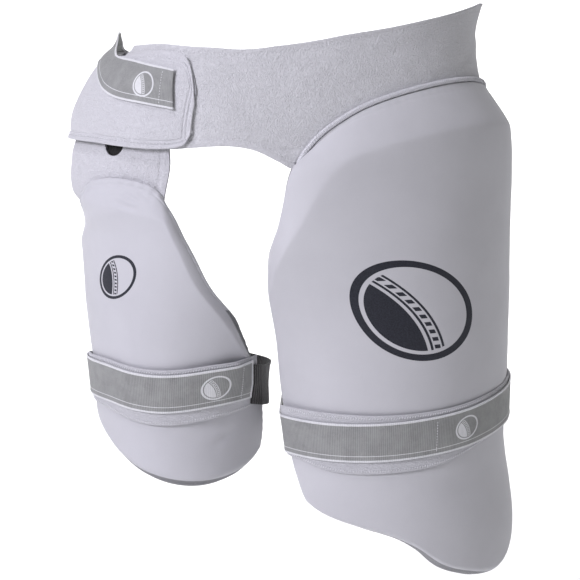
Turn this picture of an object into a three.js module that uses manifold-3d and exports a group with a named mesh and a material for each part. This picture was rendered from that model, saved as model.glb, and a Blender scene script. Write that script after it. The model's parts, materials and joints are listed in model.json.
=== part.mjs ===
// A cricket thigh guard for both legs, as worn: a fleece waist band closed over the right hip,
// a large outer pad for the left thigh, a small inner pad for the right thigh and their straps.
// Millimetres, +Z up, front at -Y. Left and right are those of the legs, so left is +X.
// The origin is the middle of the waist.
import * as THREE from "three";
import { mergeVertices } from "three/addons/utils/BufferGeometryUtils.js";
import Module from "manifold-3d";

// Sizes of the body form that the guard closes round
const hipHalfWidth = 190;
const hipHalfDepth = 128;
const waistRise = 80; // top of the form above the origin
const hipDrop = 60; // where the thighs part, below the origin
const thighDrop = 400; // from there down to the lowest section
const leftThighOut = 96; // middle of the left thigh from the middle of the body
const leftThighHalf = 96;
const rightThighOut = 91;
const rightThighHalf = 72;

// Cloth, padding and clearance
const fleeceWall = 3;
const webbingWall = 1.3;
const fitGap = 0.5; // clearance between pieces that lie on each other
const flapGap = 0.8; // the flap lies more loosely on the steep flank of the hip

// Waist band, its closing flap and the strap over it
const bandHeight = 88;
const flapHeight = 82;
const strapWidth = 36;
const hookStrapWidth = 38;

// Hanger of the inner pad
const hangerTop = -25;
const hangerDrop = 108;
const hangerHoleRadius = 11.5;
const hangerHoleDrop = 17; // from the hanger's top edge to the middle of the hole
const hangerHoleAngle = -50.3;
const hookPatchRadius = 17;
const hookPatchWall = 1.5;

// Outer pad
const outerPadTop = 10;
const outerPadHeight = 463;
const outerPadEdge = 6;
const outerPadCrown = 24;
const pipingRadius = 2.2;
const pipingGap = 1.1; // from the pad's top edge, which curves under the cord

// Inner pad
const innerPadTop = -72;
const innerPadHeight = 286;
const innerPadEdge = 4.5;
const innerPadCrown = 14;

// Thigh straps
const loopCloth = 1.2; // cloth strip under each thigh strap
const strapGap = 0.8; // from the cloth strip to the strap pulled over it
const outerStrapDrop = 300;
const innerStrapDrop = 262;
const innerStrapEnd = 42; // angle of the sewn end of the inner strap
const strapLapAngle = 12; // the hook strap laps over the inner strap behind the thigh

const degree = Math.PI / 180;

// Sections of the hips: level is a share of waistRise above the origin and of hipDrop below it,
// right and left are shares of hipHalfWidth, front and back of hipHalfDepth.
const hipSections = [
  { level: 1.0, right: 0.68, left: 0.955, front: 0.875, back: 0.875 },
  { level: 0.66, right: 0.71, left: 0.947, front: 0.898, back: 0.898 },
  { level: 0.5, right: 0.737, left: 0.95, front: 0.915, back: 0.915 },
  { level: 0.38, right: 0.792, left: 0.953, front: 0.93, back: 0.93 },
  { level: 0.1, right: 0.88, left: 0.974, front: 0.955, back: 0.96 },
  { level: -0.33, right: 0.953, left: 0.988, front: 0.977, back: 0.992 },
  { level: -0.7, right: 0.974, left: 1.0, front: 0.992, back: 1.008 },
  { level: -1.0, right: 1.0, left: 1.005, front: 1.0, back: 1.016 },
];

// Sections of each thigh: drop is a share of thighDrop, out of the thigh's distance from the middle,
// and the rest are shares of its half width.
const leftThighSections = [
  { drop: 0.15, out: 0.5, right: 1.5, left: 1.49, front: 1.27, back: 1.27 },
  { drop: 0.325, out: 0.85, right: 1.1, left: 1.148, front: 1.146, back: 1.104 },
  { drop: 0.525, out: 1.0, right: 0.93, left: 1.0, front: 1.05, back: 0.95 },
  { drop: 0.675, out: 1.01, right: 0.88, left: 0.98, front: 1.01, back: 0.91 },
  { drop: 0.86, out: 1.02, right: 0.88, left: 1.07, front: 1.0, back: 0.9 },
  { drop: 1.0, out: 1.02, right: 0.88, left: 1.08, front: 0.98, back: 0.9 },
];
const rightThighSections = [
  { drop: 0.08, out: 0.22, right: 2.37, left: 2.1, front: 1.7, back: 1.72 },
  { drop: 0.12, out: 0.36, right: 2.03, left: 1.9, front: 1.65, back: 1.66 },
  { drop: 0.16, out: 0.5, right: 1.73, left: 1.72, front: 1.6, back: 1.6 },
  { drop: 0.325, out: 0.83, right: 1.25, left: 1.29, front: 1.375, back: 1.26 },
  { drop: 0.525, out: 0.99, right: 0.955, left: 1.014, front: 1.19, back: 0.97 },
  { drop: 0.75, out: 1.01, right: 0.885, left: 0.945, front: 1.11, back: 0.89 },
  { drop: 1.0, out: 1.01, right: 0.87, left: 0.93, front: 1.08, back: 0.87 },
];

// Outline of the outer pad: angle round the form in degrees, drop in shares of outerPadHeight.
const outerPadOutline = {
  top: [
    { angle: 6.5, drop: 0.155 },
    { angle: 9, drop: 0.115 },
    { angle: 15, drop: 0.076 },
    { angle: 25, drop: 0.039 },
    { angle: 40, drop: 0.013 },
    { angle: 58, drop: 0.001 },
    { angle: 76, drop: 0.003 },
    { angle: 92, drop: 0.022 },
    { angle: 106, drop: 0.086 },
  ],
  left: [
    { angle: 6.5, drop: 0.155 },
    { angle: -8, drop: 0.235 },
    { angle: -28, drop: 0.322 },
    { angle: -42, drop: 0.402 },
    { angle: -52, drop: 0.514 },
    { angle: -57, drop: 0.616 },
    { angle: -54, drop: 0.713 },
    { angle: -47, drop: 0.785 },
    { angle: -41, drop: 0.815 },
  ],
  bottom: [
    { angle: -41, drop: 0.815 },
    { angle: -29, drop: 0.845 },
    { angle: -10, drop: 0.866 },
    { angle: 4, drop: 0.883 },
    { angle: 15, drop: 0.911 },
    { angle: 26, drop: 0.952 },
    { angle: 38, drop: 0.976 },
    { angle: 55, drop: 0.996 },
    { angle: 68, drop: 0.985 },
    { angle: 81, drop: 0.942 },
    { angle: 99, drop: 0.825 },
  ],
  right: [
    { angle: 106, drop: 0.086 },
    { angle: 112, drop: 0.216 },
    { angle: 111, drop: 0.454 },
    { angle: 106, drop: 0.67 },
    { angle: 105, drop: 0.76 },
    { angle: 99, drop: 0.825 },
  ],
};

// Moulded edge of the outer pad: width of the slope in from each side, in shares of the pad's crown,
// at a share of the way along that side; round is 1 for a flat slope and more for a rounded one.
const outerPadBevel = {
  top: [
    { along: 0, width: 1.3, round: 1.3 },
    { along: 0.35, width: 1.75, round: 1.25 },
    { along: 0.8, width: 1.6, round: 1.5 },
    { along: 1, width: 1.2, round: 1.8 },
  ],
  left: [
    { along: 0, width: 1.3, round: 1.3 },
    { along: 0.2, width: 1.15, round: 1.4 },
    { along: 0.36, width: 0.6, round: 2 },
    { along: 1, width: 0.6, round: 2.2 },
  ],
  bottom: [
    { along: 0, width: 0.55, round: 2.2 },
    { along: 1, width: 0.6, round: 2.2 },
  ],
  right: [
    { along: 0, width: 1.1, round: 2 },
    { along: 1, width: 0.9, round: 2 },
  ],
};

const innerPadOutline = {
  top: [
    { angle: -94, drop: 0.2 },
    { angle: -80, drop: 0.148 },
    { angle: -66, drop: 0.084 },
    { angle: -57, drop: 0.021 },
    { angle: -45, drop: 0.001 },
    { angle: -34, drop: 0.014 },
    { angle: -29, drop: 0.038 },
    { angle: -25, drop: 0.08 },
  ],
  left: [
    { angle: -94, drop: 0.2 },
    { angle: -100, drop: 0.308 },
    { angle: -102, drop: 0.552 },
    { angle: -96, drop: 0.797 },
  ],
  bottom: [
    { angle: -96, drop: 0.797 },
    { angle: -80, drop: 0.843 },
    { angle: -60, drop: 0.878 },
    { angle: -42, drop: 0.923 },
    { angle: -22, drop: 0.965 },
    { angle: 0, drop: 0.992 },
    { angle: 20, drop: 1.0 },
    { angle: 42, drop: 0.988 },
    { angle: 58, drop: 0.965 },
    { angle: 70, drop: 0.937 },
  ],
  right: [
    { angle: -25, drop: 0.08 },
    { angle: -19, drop: 0.147 },
    { angle: -7.7, drop: 0.24 },
    { angle: 6, drop: 0.336 },
    { angle: 27, drop: 0.444 },
    { angle: 44, drop: 0.552 },
    { angle: 62, drop: 0.657 },
    { angle: 75, drop: 0.769 },
    { angle: 78, drop: 0.86 },
    { angle: 70, drop: 0.937 },
  ],
};
const innerPadBevel = {
  top: [
    { along: 0, width: 1.4, round: 1.5 },
    { along: 0.6, width: 2.0, round: 1.3 },
    { along: 1, width: 1.5, round: 1.3 },
  ],
  left: [
    { along: 0, width: 0.9, round: 2 },
    { along: 1, width: 0.9, round: 2 },
  ],
  bottom: [
    { along: 0, width: 0.9, round: 2.2 },
    { along: 1, width: 0.9, round: 2.2 },
  ],
  right: [
    { along: 0, width: 1.4, round: 1.3 },
    { along: 0.45, width: 1.2, round: 1.5 },
    { along: 0.62, width: 0.8, round: 2 },
    { along: 1, width: 0.8, round: 2.2 },
  ],
};

// Edges of the waist band at angles round the waist, in shares of bandHeight from the origin.
// It starts under the flap, dips into a gusset beside the outer pad, passes behind that pad's top
// and goes round the left hip and the back to the right hip. flare is a share of fleeceWall.
const bandRows = [
  { angle: -62, top: 0.475, bottom: -0.44, flare: 0 },
  { angle: -45, top: 0.506, bottom: -0.466, flare: 0 },
  { angle: -30, top: 0.489, bottom: -0.505, flare: 0 },
  { angle: -22, top: 0.483, bottom: -0.483, flare: 0 },
  { angle: -12, top: 0.469, bottom: -0.461, flare: 0 },
  { angle: -5, top: 0.48, bottom: -0.502, flare: 0 },
  { angle: 1.5, top: 0.506, bottom: -0.608, flare: 0 },
  { angle: 5.6, top: 0.523, bottom: -0.69, flare: 0 },
  { angle: 12, top: 0.557, bottom: -0.6, flare: 0 },
  { angle: 20, top: 0.608, bottom: -0.42, flare: 0 },
  { angle: 32, top: 0.665, bottom: -0.21, flare: 0 },
  { angle: 46, top: 0.739, bottom: -0.11, flare: 0 },
  { angle: 58, top: 0.795, bottom: -0.08, flare: 0 },
  { angle: 72, top: 0.85, bottom: -0.08, flare: 0.6 },
  { angle: 86, top: 0.88, bottom: -0.12, flare: 1.6 },
  { angle: 98, top: 0.85, bottom: -0.19, flare: 1.4 },
  { angle: 115, top: 0.727, bottom: -0.32, flare: 0.4 },
  { angle: 140, top: 0.52, bottom: -0.4, flare: 0 },
  { angle: 180, top: 0.34, bottom: -0.47, flare: 0 },
  { angle: 215, top: 0.33, bottom: -0.49, flare: 0 },
  { angle: 250, top: 0.35, bottom: -0.48, flare: 0 },
];

// Edges of the flap, in shares of flapHeight; the last rows round its two front corners.
const flapRows = [
  { angle: -122, top: 0.37, bottom: -0.53 },
  { angle: -104, top: 0.385, bottom: -0.54 },
  { angle: -86, top: 0.385, bottom: -0.54 },
  { angle: -70, top: 0.385, bottom: -0.525 },
  { angle: -58, top: 0.41, bottom: -0.515 },
  { angle: -47, top: 0.466, bottom: -0.53 },
  { angle: -37, top: 0.463, bottom: -0.54 },
  { angle: -32, top: 0.437, bottom: -0.538 },
  { angle: -29, top: 0.393, bottom: -0.53 },
  { angle: -26.4, top: 0.29, bottom: -0.515 },
  { angle: -24, top: 0.12, bottom: -0.475 },
  { angle: -22.6, top: -0.06, bottom: -0.38 },
];

// Edges of the hip strap in shares of strapWidth; lift brings it down from the flap to the band.
const hipStrapRows = [
  { angle: -156, top: 0.64, bottom: -0.34, lift: 0 },
  { angle: -136, top: 0.68, bottom: -0.28, lift: 0 },
  { angle: -122, top: 0.8, bottom: -0.1, lift: 1 },
  { angle: -108, top: 1.02, bottom: 0.2, lift: 1 },
  { angle: -99, top: 1.26, bottom: 0.5, lift: 1 },
  { angle: -92, top: 1.43, bottom: 0.7, lift: 1 },
  { angle: -82, top: 1.32, bottom: 0.68, lift: 1 },
  { angle: -73, top: 1.09, bottom: 0.53, lift: 1 },
  { angle: -65, top: 0.94, bottom: 0.29, lift: 1 },
  { angle: -59, top: 0.89, bottom: 0.09, lift: 1 },
  { angle: -52, top: 0.86, bottom: -0.06, lift: 1 },
  { angle: -42, top: 0.77, bottom: -0.16, lift: 1 },
  { angle: -30, top: 0.667, bottom: -0.289, lift: 1 },
];

// Lower edge of the hanger in shares of hangerDrop; lean turns its front edge forward on the way down.
const hangerRows = [
  { angle: -101, top: 0, bottom: -1.0, lean: 0 },
  { angle: -86, top: 0, bottom: -0.92, lean: 0 },
  { angle: -70, top: 0, bottom: -0.78, lean: 0 },
  { angle: -58, top: 0, bottom: -0.64, lean: 1 },
  { angle: -46, top: 0, bottom: -0.57, lean: 2 },
  { angle: -37, top: 0, bottom: -0.6, lean: 3 },
  { angle: -30.8, top: 0, bottom: -0.68, lean: 4.2 },
];

// Rise of each thigh strap's middle round its thigh, in shares of strapWidth; bow stands it off
// the thigh where it comes round the pad's edge.
const outerStrapRise = [
  { angle: -180, rise: 0.19 },
  { angle: -120, rise: -0.1 },
  { angle: -60, rise: -0.19 },
  { angle: -26, rise: -0.15 },
  { angle: 0, rise: -0.06 },
  { angle: 18, rise: 0.03 },
  { angle: 35, rise: 0.12 },
  { angle: 50, rise: 0.22 },
  { angle: 65, rise: 0.29 },
  { angle: 90, rise: 0.36 },
  { angle: 130, rise: 0.34 },
  { angle: 180, rise: 0.19 },
];
const innerStrapRise = [
  { angle: -180, rise: -0.5 },
  { angle: -130, rise: -0.4 },
  { angle: -90, rise: -0.18 },
  { angle: -60, rise: -0.04 },
  { angle: -40, rise: 0.01 },
  { angle: -21, rise: -0.07 },
  { angle: -5, rise: -0.08 },
  { angle: 20, rise: 0.05 },
  { angle: 44, rise: 0.12 },
];
const hookStrapRise = [
  { angle: 42, rise: -0.03, bow: 0 },
  { angle: 60, rise: -0.24, bow: 0.07 },
  { angle: 90, rise: -0.44, bow: 0.15 },
  { angle: 130, rise: -0.55, bow: 0.05 },
  { angle: 180, rise: -0.5, bow: 0 },
  { angle: 200, rise: -0.47, bow: 0 },
];

// Cloth strip on each pad: how far it stands above and below the strap, in shares of strapWidth.
const outerLoopRows = [
  { angle: -48, above: 0.24, below: 0.06 },
  { angle: -38, above: 0.26, below: 0.12 },
  { angle: -20, above: 0.24, below: 0.3 },
  { angle: 0, above: 0.18, below: 0.33 },
  { angle: 24, above: 0.13, below: 0.3 },
  { angle: 45, above: 0.12, below: 0.1 },
  { angle: 84, above: 0.1, below: 0.06 },
];
const innerLoopRows = [
  { angle: -78, above: 0.2, below: 0.14 },
  { angle: -50, above: 0.2, below: 0.2 },
  { angle: -30, above: 0.18, below: 0.3 },
  { angle: 0, above: 0.16, below: 0.34 },
  { angle: 30, above: 0.16, below: 0.32 },
  { angle: 48, above: 0.12, below: 0.26 },
];

// Smooth value of one column of a table at x, with its rows sorted by the key column.
function valueAt(rows, key, column, x) {
  const last = rows.length - 1;
  if (x <= rows[0][key]) return rows[0][column];
  if (x >= rows[last][key]) return rows[last][column];
  let i = 0;
  while (rows[i + 1][key] < x) i++;
  const slope = (k) => {
    const lo = Math.max(k - 1, 0);
    const hi = Math.min(k + 1, last);
    return (rows[hi][column] - rows[lo][column]) / (rows[hi][key] - rows[lo][key]);
  };
  const span = rows[i + 1][key] - rows[i][key];
  const t = (x - rows[i][key]) / span;
  const from = rows[i][column];
  const to = rows[i + 1][column];
  const t2 = t * t;
  const t3 = t2 * t;
  return (
    (2 * t3 - 3 * t2 + 1) * from +
    (t3 - 2 * t2 + t) * span * slope(i) +
    (3 * t2 - 2 * t3) * to +
    (t3 - t2) * span * slope(i + 1)
  );
}

// Body form with one thigh: rows of absolute sections, from the lowest up.
function bodyForm(thighSections, thighOut, thighHalf) {
  const hips = hipSections.map((row) => ({
    height: row.level * (row.level > 0 ? waistRise : hipDrop),
    centre: 0,
    right: row.right * hipHalfWidth,
    left: row.left * hipHalfWidth,
    front: row.front * hipHalfDepth,
    back: row.back * hipHalfDepth,
  }));
  const half = Math.abs(thighHalf);
  const thigh = thighSections.map((row) => ({
    height: -hipDrop - row.drop * thighDrop,
    centre: row.out * thighOut,
    right: row.right * half,
    left: row.left * half,
    front: row.front * half,
    back: row.back * half,
  }));
  return [...hips, ...thigh].sort((a, b) => a.height - b.height);
}

const leftForm = bodyForm(leftThighSections, leftThighOut, leftThighHalf);
const rightForm = bodyForm(rightThighSections, -rightThighOut, rightThighHalf);

// Point on a form at an angle from the front, turning to the left (+X), lifted off by offset.
function onForm(form, angle, height, offset) {
  const column = (name) => valueAt(form, "height", name, height);
  const across = Math.sin(angle * degree);
  const ahead = Math.cos(angle * degree);
  const a = column(across > 0 ? "left" : "right");
  const b = column(ahead > 0 ? "front" : "back");
  const normal = new THREE.Vector2(across / a, -ahead / b).normalize();
  return new THREE.Vector3(
    column("centre") + a * across + offset * normal.x,
    -b * ahead + offset * normal.y,
    height,
  );
}

// Closed solid over a grid: skin(i, j, side) gives a point, side 0 is the inner skin and 1 the outer.
// Columns run to the left (+X) and rows run down. A ring joins its last column to its first.
function skinSolid(columns, rows, skin, ring = false) {
  const across = ring ? columns : columns + 1;
  const positions = [];
  for (let side = 0; side < 2; side++)
    for (let j = 0; j <= rows; j++)
      for (let i = 0; i < across; i++) positions.push(...skin(i, j, side).toArray());
  const at = (i, j, side) => (side * (rows + 1) + j) * across + (i % across);
  const faces = [];
  const quad = (a, b, c, d) => faces.push(a, b, c, a, c, d);
  for (let i = 0; i < columns; i++) {
    for (let j = 0; j < rows; j++) {
      quad(at(i, j, 1), at(i, j + 1, 1), at(i + 1, j + 1, 1), at(i + 1, j, 1));
      quad(at(i, j, 0), at(i + 1, j, 0), at(i + 1, j + 1, 0), at(i, j + 1, 0));
    }
    quad(at(i, 0, 0), at(i, 0, 1), at(i + 1, 0, 1), at(i + 1, 0, 0));
    quad(at(i, rows, 1), at(i, rows, 0), at(i + 1, rows, 0), at(i + 1, rows, 1));
  }
  if (!ring)
    for (let j = 0; j < rows; j++) {
      quad(at(0, j, 0), at(0, j + 1, 0), at(0, j + 1, 1), at(0, j, 1));
      quad(at(columns, j, 1), at(columns, j + 1, 1), at(columns, j + 1, 0), at(columns, j, 0));
    }
  const geometry = new THREE.BufferGeometry();
  geometry.setAttribute("position", new THREE.Float32BufferAttribute(positions, 3));
  geometry.setIndex(faces);
  return geometry;
}

// Strip of cloth on a form between the top and bottom edges of its table of rows.
function clothStrip(form, table, size, options) {
  const { base = 0, columns, rows, inner, wall } = options;
  const first = table[0].angle;
  const last = table[table.length - 1].angle;
  return skinSolid(columns, rows, (i, j, side) => {
    const angle = first + ((last - first) * i) / columns;
    const share = j / rows;
    const top = valueAt(table, "angle", "top", angle) * size;
    const bottom = valueAt(table, "angle", "bottom", angle) * size;
    const height = base + top + (bottom - top) * share;
    const turned = angle + (options.lean ? options.lean(angle) * share : 0);
    const offset = inner(angle, share) + wall * side;
    return onForm(form, turned, height, offset);
  });
}

// Point at a share of the way along an outline's edge, as an angle and a drop.
function alongEdge(edge, share) {
  const reach = [0];
  for (let k = 1; k < edge.length; k++) {
    const turn = (edge[k].angle - edge[k - 1].angle) / 180;
    const fall = edge[k].drop - edge[k - 1].drop;
    reach.push(reach[k - 1] + Math.hypot(turn, fall));
  }
  const rows = edge.map((row, k) => ({ ...row, reach: reach[k] / reach[reach.length - 1] }));
  return {
    angle: valueAt(rows, "reach", "angle", share),
    drop: valueAt(rows, "reach", "drop", share),
  };
}

// Angle and drop inside an outline: across is a share of the way from left to right, down from the top.
function insideOutline(outline, across, down) {
  const top = alongEdge(outline.top, across);
  const bottom = alongEdge(outline.bottom, across);
  const left = alongEdge(outline.left, down);
  const right = alongEdge(outline.right, down);
  const blend = (name) =>
    (1 - down) * top[name] +
    down * bottom[name] +
    (1 - across) * left[name] +
    across * right[name] -
    (1 - across) * (1 - down) * outline.left[0][name] -
    across * (1 - down) * outline.right[0][name] -
    (1 - across) * down * outline.left[outline.left.length - 1][name] -
    across * down * outline.right[outline.right.length - 1][name];
  return { angle: blend("angle"), drop: blend("drop") };
}

// A pad: its form, outline, bevel and sizes, with a function for its outer offset.
function makePad(form, outline, bevel, sizes) {
  const { top, height, edge, crown, inner } = sizes;
  const meanRadius = (level) =>
    (valueAt(form, "height", "left", level) + valueAt(form, "height", "front", level)) / 2;
  const slope = (side, along, distance) => {
    const width = valueAt(bevel[side], "along", "width", along) * crown;
    const round = valueAt(bevel[side], "along", "round", along);
    return (1 - Math.min(distance / width, 1)) ** round;
  };
  const place = (across, down) => {
    const spot = insideOutline(outline, across, down);
    return { angle: spot.angle, height: top - spot.drop * height };
  };
  const outer = (across, down) => {
    const leftAngle = alongEdge(outline.left, down).angle;
    const rightAngle = alongEdge(outline.right, down).angle;
    const drops = [alongEdge(outline.top, across).drop, alongEdge(outline.bottom, across).drop];
    const level = place(across, down).height;
    const width = (rightAngle - leftAngle) * degree * meanRadius(level);
    const fall = (drops[1] - drops[0]) * height;
    const short = Math.min(
      1,
      Math.cbrt(
        slope("left", down, across * width) ** 3 +
          slope("right", down, (1 - across) * width) ** 3 +
          slope("top", across, down * fall) ** 3 +
          slope("bottom", across, (1 - down) * fall) ** 3,
      ),
    );
    return inner + edge + (crown - edge) * (1 - short);
  };
  return { form, inner, place, outer };
}

// Shares along a row, closer together near both ends where the edge slopes.
function easedShare(index, count) {
  const share = index / count;
  const ease = 0.5 - 0.5 * Math.cos(Math.PI * share);
  return 0.45 * share + 0.55 * ease;
}

function padSolid(pad, columns, rows) {
  return skinSolid(columns, rows, (i, j, side) => {
    const across = easedShare(i, columns);
    const down = easedShare(j, rows);
    const spot = pad.place(across, down);
    const offset = side ? pad.outer(across, down) : pad.inner;
    return onForm(pad.form, spot.angle, spot.height, offset);
  });
}

const outerPad = makePad(leftForm, outerPadOutline, outerPadBevel, {
  top: outerPadTop,
  height: outerPadHeight,
  edge: outerPadEdge,
  crown: outerPadCrown,
  inner: fleeceWall + fitGap,
});
const innerPad = makePad(rightForm, innerPadOutline, innerPadBevel, {
  top: innerPadTop,
  height: innerPadHeight,
  edge: innerPadEdge,
  crown: innerPadCrown,
  inner: fitGap,
});

// Convex outline, seen from above, of a list of points.
function hullOf(points) {
  const sorted = [...points].sort((p, q) => p.x - q.x || p.y - q.y);
  const chain = (list) => {
    const kept = [];
    for (const p of list) {
      while (kept.length > 1) {
        const [a, b] = kept.slice(-2);
        if ((b.x - a.x) * (p.y - a.y) - (b.y - a.y) * (p.x - a.x) > 0) break;
        kept.pop();
      }
      kept.push(p);
    }
    return kept.slice(0, -1);
  };
  return [...chain(sorted), ...chain(sorted.reverse())];
}

// Distance from a middle point out to a convex outline, at an angle from the front.
function reachOf(hull, middle, angle) {
  const dx = Math.sin(angle * degree);
  const dy = -Math.cos(angle * degree);
  let best = 0;
  hull.forEach((p, k) => {
    const q = hull[(k + 1) % hull.length];
    const ex = q.x - p.x;
    const ey = q.y - p.y;
    const cross = dx * ey - dy * ex;
    if (Math.abs(cross) < 1e-9) return;
    const share = ((p.x - middle.x) * dy - (p.y - middle.y) * dx) / cross;
    const reach = ((p.x - middle.x) * ey - (p.y - middle.y) * ex) / cross;
    if (share >= -1e-6 && share <= 1 + 1e-6) best = Math.max(best, reach);
  });
  return best;
}

// A taut wrap round a pad and its thigh, at a height below the origin. It returns the point at an
// angle and a height, lifted off the pulled outline by lift.
function tautWrap(pad, drop, span) {
  const level = -drop;
  const centre = valueAt(pad.form, "height", "centre", level);
  const middle = new THREE.Vector2(centre, 0);
  const slices = 40;
  const padPoints = [];
  for (let i = 0; i <= slices; i++)
    for (let j = 0; j <= slices * 2; j++) {
      const across = i / slices;
      const down = j / (slices * 2);
      const spot = pad.place(across, down);
      padPoints.push(onForm(pad.form, spot.angle, spot.height, pad.outer(across, down)));
    }
  const bands = 4;
  const step = (2 * span) / bands;
  const hulls = [];
  for (let k = 0; k <= bands; k++) {
    const height = level - span + k * step;
    const ring = padPoints.filter((p) => Math.abs(p.z - height) < step);
    for (let angle = 0; angle < 360; angle += 6) ring.push(onForm(pad.form, angle, height, 0));
    hulls.push(hullOf(ring.map((p) => new THREE.Vector2(p.x, p.y))));
  }
  return (angle, height, lift) => {
    const at = Math.min(Math.max((height - level + span) / step, 0), bands - 1e-6);
    const k = Math.floor(at);
    const low = reachOf(hulls[k], middle, angle);
    const high = reachOf(hulls[k + 1], middle, angle);
    const radius = low + (high - low) * (at - k) + lift;
    return new THREE.Vector3(
      middle.x + radius * Math.sin(angle * degree),
      middle.y - radius * Math.cos(angle * degree),
      height,
    );
  };
}

// Strap round a thigh from one angle to another, on its taut wrap.
function thighStrap(wrap, options) {
  const { drop, rise, width, from, to, columns, rows, ring = false } = options;
  return skinSolid(
    columns,
    rows,
    (i, j, side) => {
      const angle = from + ((to - from) * i) / columns;
      const middle = valueAt(rise, "angle", "rise", angle) * strapWidth - drop;
      const height = middle + width * (0.5 - j / rows);
      return wrap(angle, height, options.lift(angle) + webbingWall * side);
    },
    ring,
  );
}

// Cloth strip between a pad and its strap.
function loopStrip(wrap, table, rise, drop, columns, rows) {
  const first = table[0].angle;
  const last = table[table.length - 1].angle;
  return skinSolid(columns, rows, (i, j, side) => {
    const angle = first + ((last - first) * i) / columns;
    const middle = valueAt(rise, "angle", "rise", angle) * strapWidth - drop;
    const top = middle + (0.5 + valueAt(table, "angle", "above", angle)) * strapWidth;
    const bottom = middle - (0.5 + valueAt(table, "angle", "below", angle)) * strapWidth;
    const height = top + ((bottom - top) * j) / rows;
    return wrap(angle, height, fitGap + loopCloth * side);
  });
}

const wasm = await Module();
wasm.setup();

function toSolid(geometry) {
  const bare = geometry.index ? geometry.toNonIndexed() : geometry.clone();
  bare.deleteAttribute("normal");
  bare.deleteAttribute("uv");
  const merged = mergeVertices(bare, 1e-4);
  return new wasm.Manifold(
    new wasm.Mesh({
      numProp: 3,
      vertProperties: merged.attributes.position.array,
      triVerts: new Uint32Array(merged.index.array),
    }),
  );
}

function toGeometry(solid) {
  const mesh = solid.getMesh();
  const geometry = new THREE.BufferGeometry();
  geometry.setAttribute("position", new THREE.BufferAttribute(mesh.vertProperties, 3));
  geometry.setIndex(new THREE.BufferAttribute(mesh.triVerts, 1));
  return geometry;
}

// Cylinder that stands through the cloth of a form at an angle and a height.
function studThrough(form, angle, height, radius, inner, outer, sides) {
  const from = onForm(form, angle, height, inner);
  const to = onForm(form, angle, height, outer);
  const cylinder = new THREE.CylinderGeometry(radius, radius, from.distanceTo(to), sides);
  const turn = new THREE.Quaternion().setFromUnitVectors(
    new THREE.Vector3(0, 1, 0),
    to.clone().sub(from).normalize(),
  );
  cylinder.applyQuaternion(turn);
  const middle = from.add(to).multiplyScalar(0.5);
  return cylinder.translate(middle.x, middle.y, middle.z);
}

const hangerHoleHeight = hangerTop - hangerHoleDrop;
const hangerInner = -fleeceWall - fitGap;

function hangerSolid() {
  const sheet = clothStrip(rightForm, hangerRows, hangerDrop, {
    base: hangerTop,
    columns: 16,
    rows: 8,
    inner: () => hangerInner,
    wall: fleeceWall,
    lean: (angle) => valueAt(hangerRows, "angle", "lean", angle),
  });
  const hole = studThrough(
    rightForm,
    hangerHoleAngle,
    hangerHoleHeight,
    hangerHoleRadius,
    hangerInner - fleeceWall,
    fleeceWall * 2,
    24,
  );
  return toGeometry(toSolid(sheet).subtract(toSolid(hole)));
}

// Round patch behind the hanger's hole, bent to the form.
function hookPatchSolid() {
  const rings = 3;
  const sides = 16;
  const outer = hangerInner - fitGap;
  const positions = [];
  const arc = hipHalfWidth * 0.87 * degree; // length of one degree of turn at the patch
  for (let side = 0; side < 2; side++)
    for (let k = 0; k <= rings; k++)
      for (let i = 0; i < sides; i++) {
        const radius = (hookPatchRadius * (k || 0.15)) / rings;
        const turn = (i / sides) * 2 * Math.PI;
        const angle = hangerHoleAngle + (radius * Math.cos(turn)) / arc;
        const height = hangerHoleHeight + radius * Math.sin(turn);
        const offset = outer - hookPatchWall * (1 - side);
        positions.push(...onForm(rightForm, angle, height, offset).toArray());
      }
  const at = (k, i, side) => (side * (rings + 1) + k) * sides + (i % sides);
  const faces = [];
  const quad = (a, b, c, d) => faces.push(a, b, c, a, c, d);
  for (let i = 0; i < sides; i++) {
    for (let k = 0; k < rings; k++) {
      quad(at(k, i, 1), at(k + 1, i, 1), at(k + 1, i + 1, 1), at(k, i + 1, 1));
      quad(at(k, i, 0), at(k, i + 1, 0), at(k + 1, i + 1, 0), at(k + 1, i, 0));
    }
    quad(at(rings, i, 0), at(rings, i + 1, 0), at(rings, i + 1, 1), at(rings, i, 1));
  }
  for (let i = 1; i < sides - 1; i++) {
    faces.push(at(0, 0, 1), at(0, i, 1), at(0, i + 1, 1));
    faces.push(at(0, 0, 0), at(0, i + 1, 0), at(0, i, 0));
  }
  const geometry = new THREE.BufferGeometry();
  geometry.setAttribute("position", new THREE.Float32BufferAttribute(positions, 3));
  geometry.setIndex(faces);
  return geometry;
}

// Round cord sewn along the outer pad's top edge.
function pipingSolid() {
  const stations = 40;
  const shift = pipingRadius + pipingGap;
  const spots = [];
  for (let k = 0; k <= stations; k++) spots.push(outerPad.place(k / stations, 0));
  const arc = hipHalfWidth * degree;
  const points = spots.map((spot, k) => {
    const before = spots[Math.max(k - 1, 0)];
    const after = spots[Math.min(k + 1, stations)];
    const along = (after.angle - before.angle) * arc;
    const up = after.height - before.height;
    const length = Math.hypot(along, up);
    const angle = spot.angle - (up / length) * (shift / arc);
    const height = spot.height + (along / length) * shift;
    return onForm(leftForm, angle, height, fleeceWall + fitGap + pipingRadius);
  });
  const section = new THREE.Shape();
  section.absarc(0, 0, pipingRadius, 0, Math.PI * 2);
  return new THREE.ExtrudeGeometry(section, {
    steps: stations,
    curveSegments: 4,
    extrudePath: new THREE.CatmullRomCurve3(points),
  });
}

function cloth(color, roughness) {
  return new THREE.MeshStandardMaterial({ color, roughness, metalness: 0 });
}

const fleece = cloth(0xe4e3ea, 0.95);
const padCover = cloth(0xd9d8e2, 0.7);
const whiteTrim = cloth(0xf2f1f6, 0.6);
const greyWebbing = cloth(0x9ba09e, 0.65);
const blackHook = cloth(0x3a3636, 0.85);

const guard = new THREE.Group();

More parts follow.
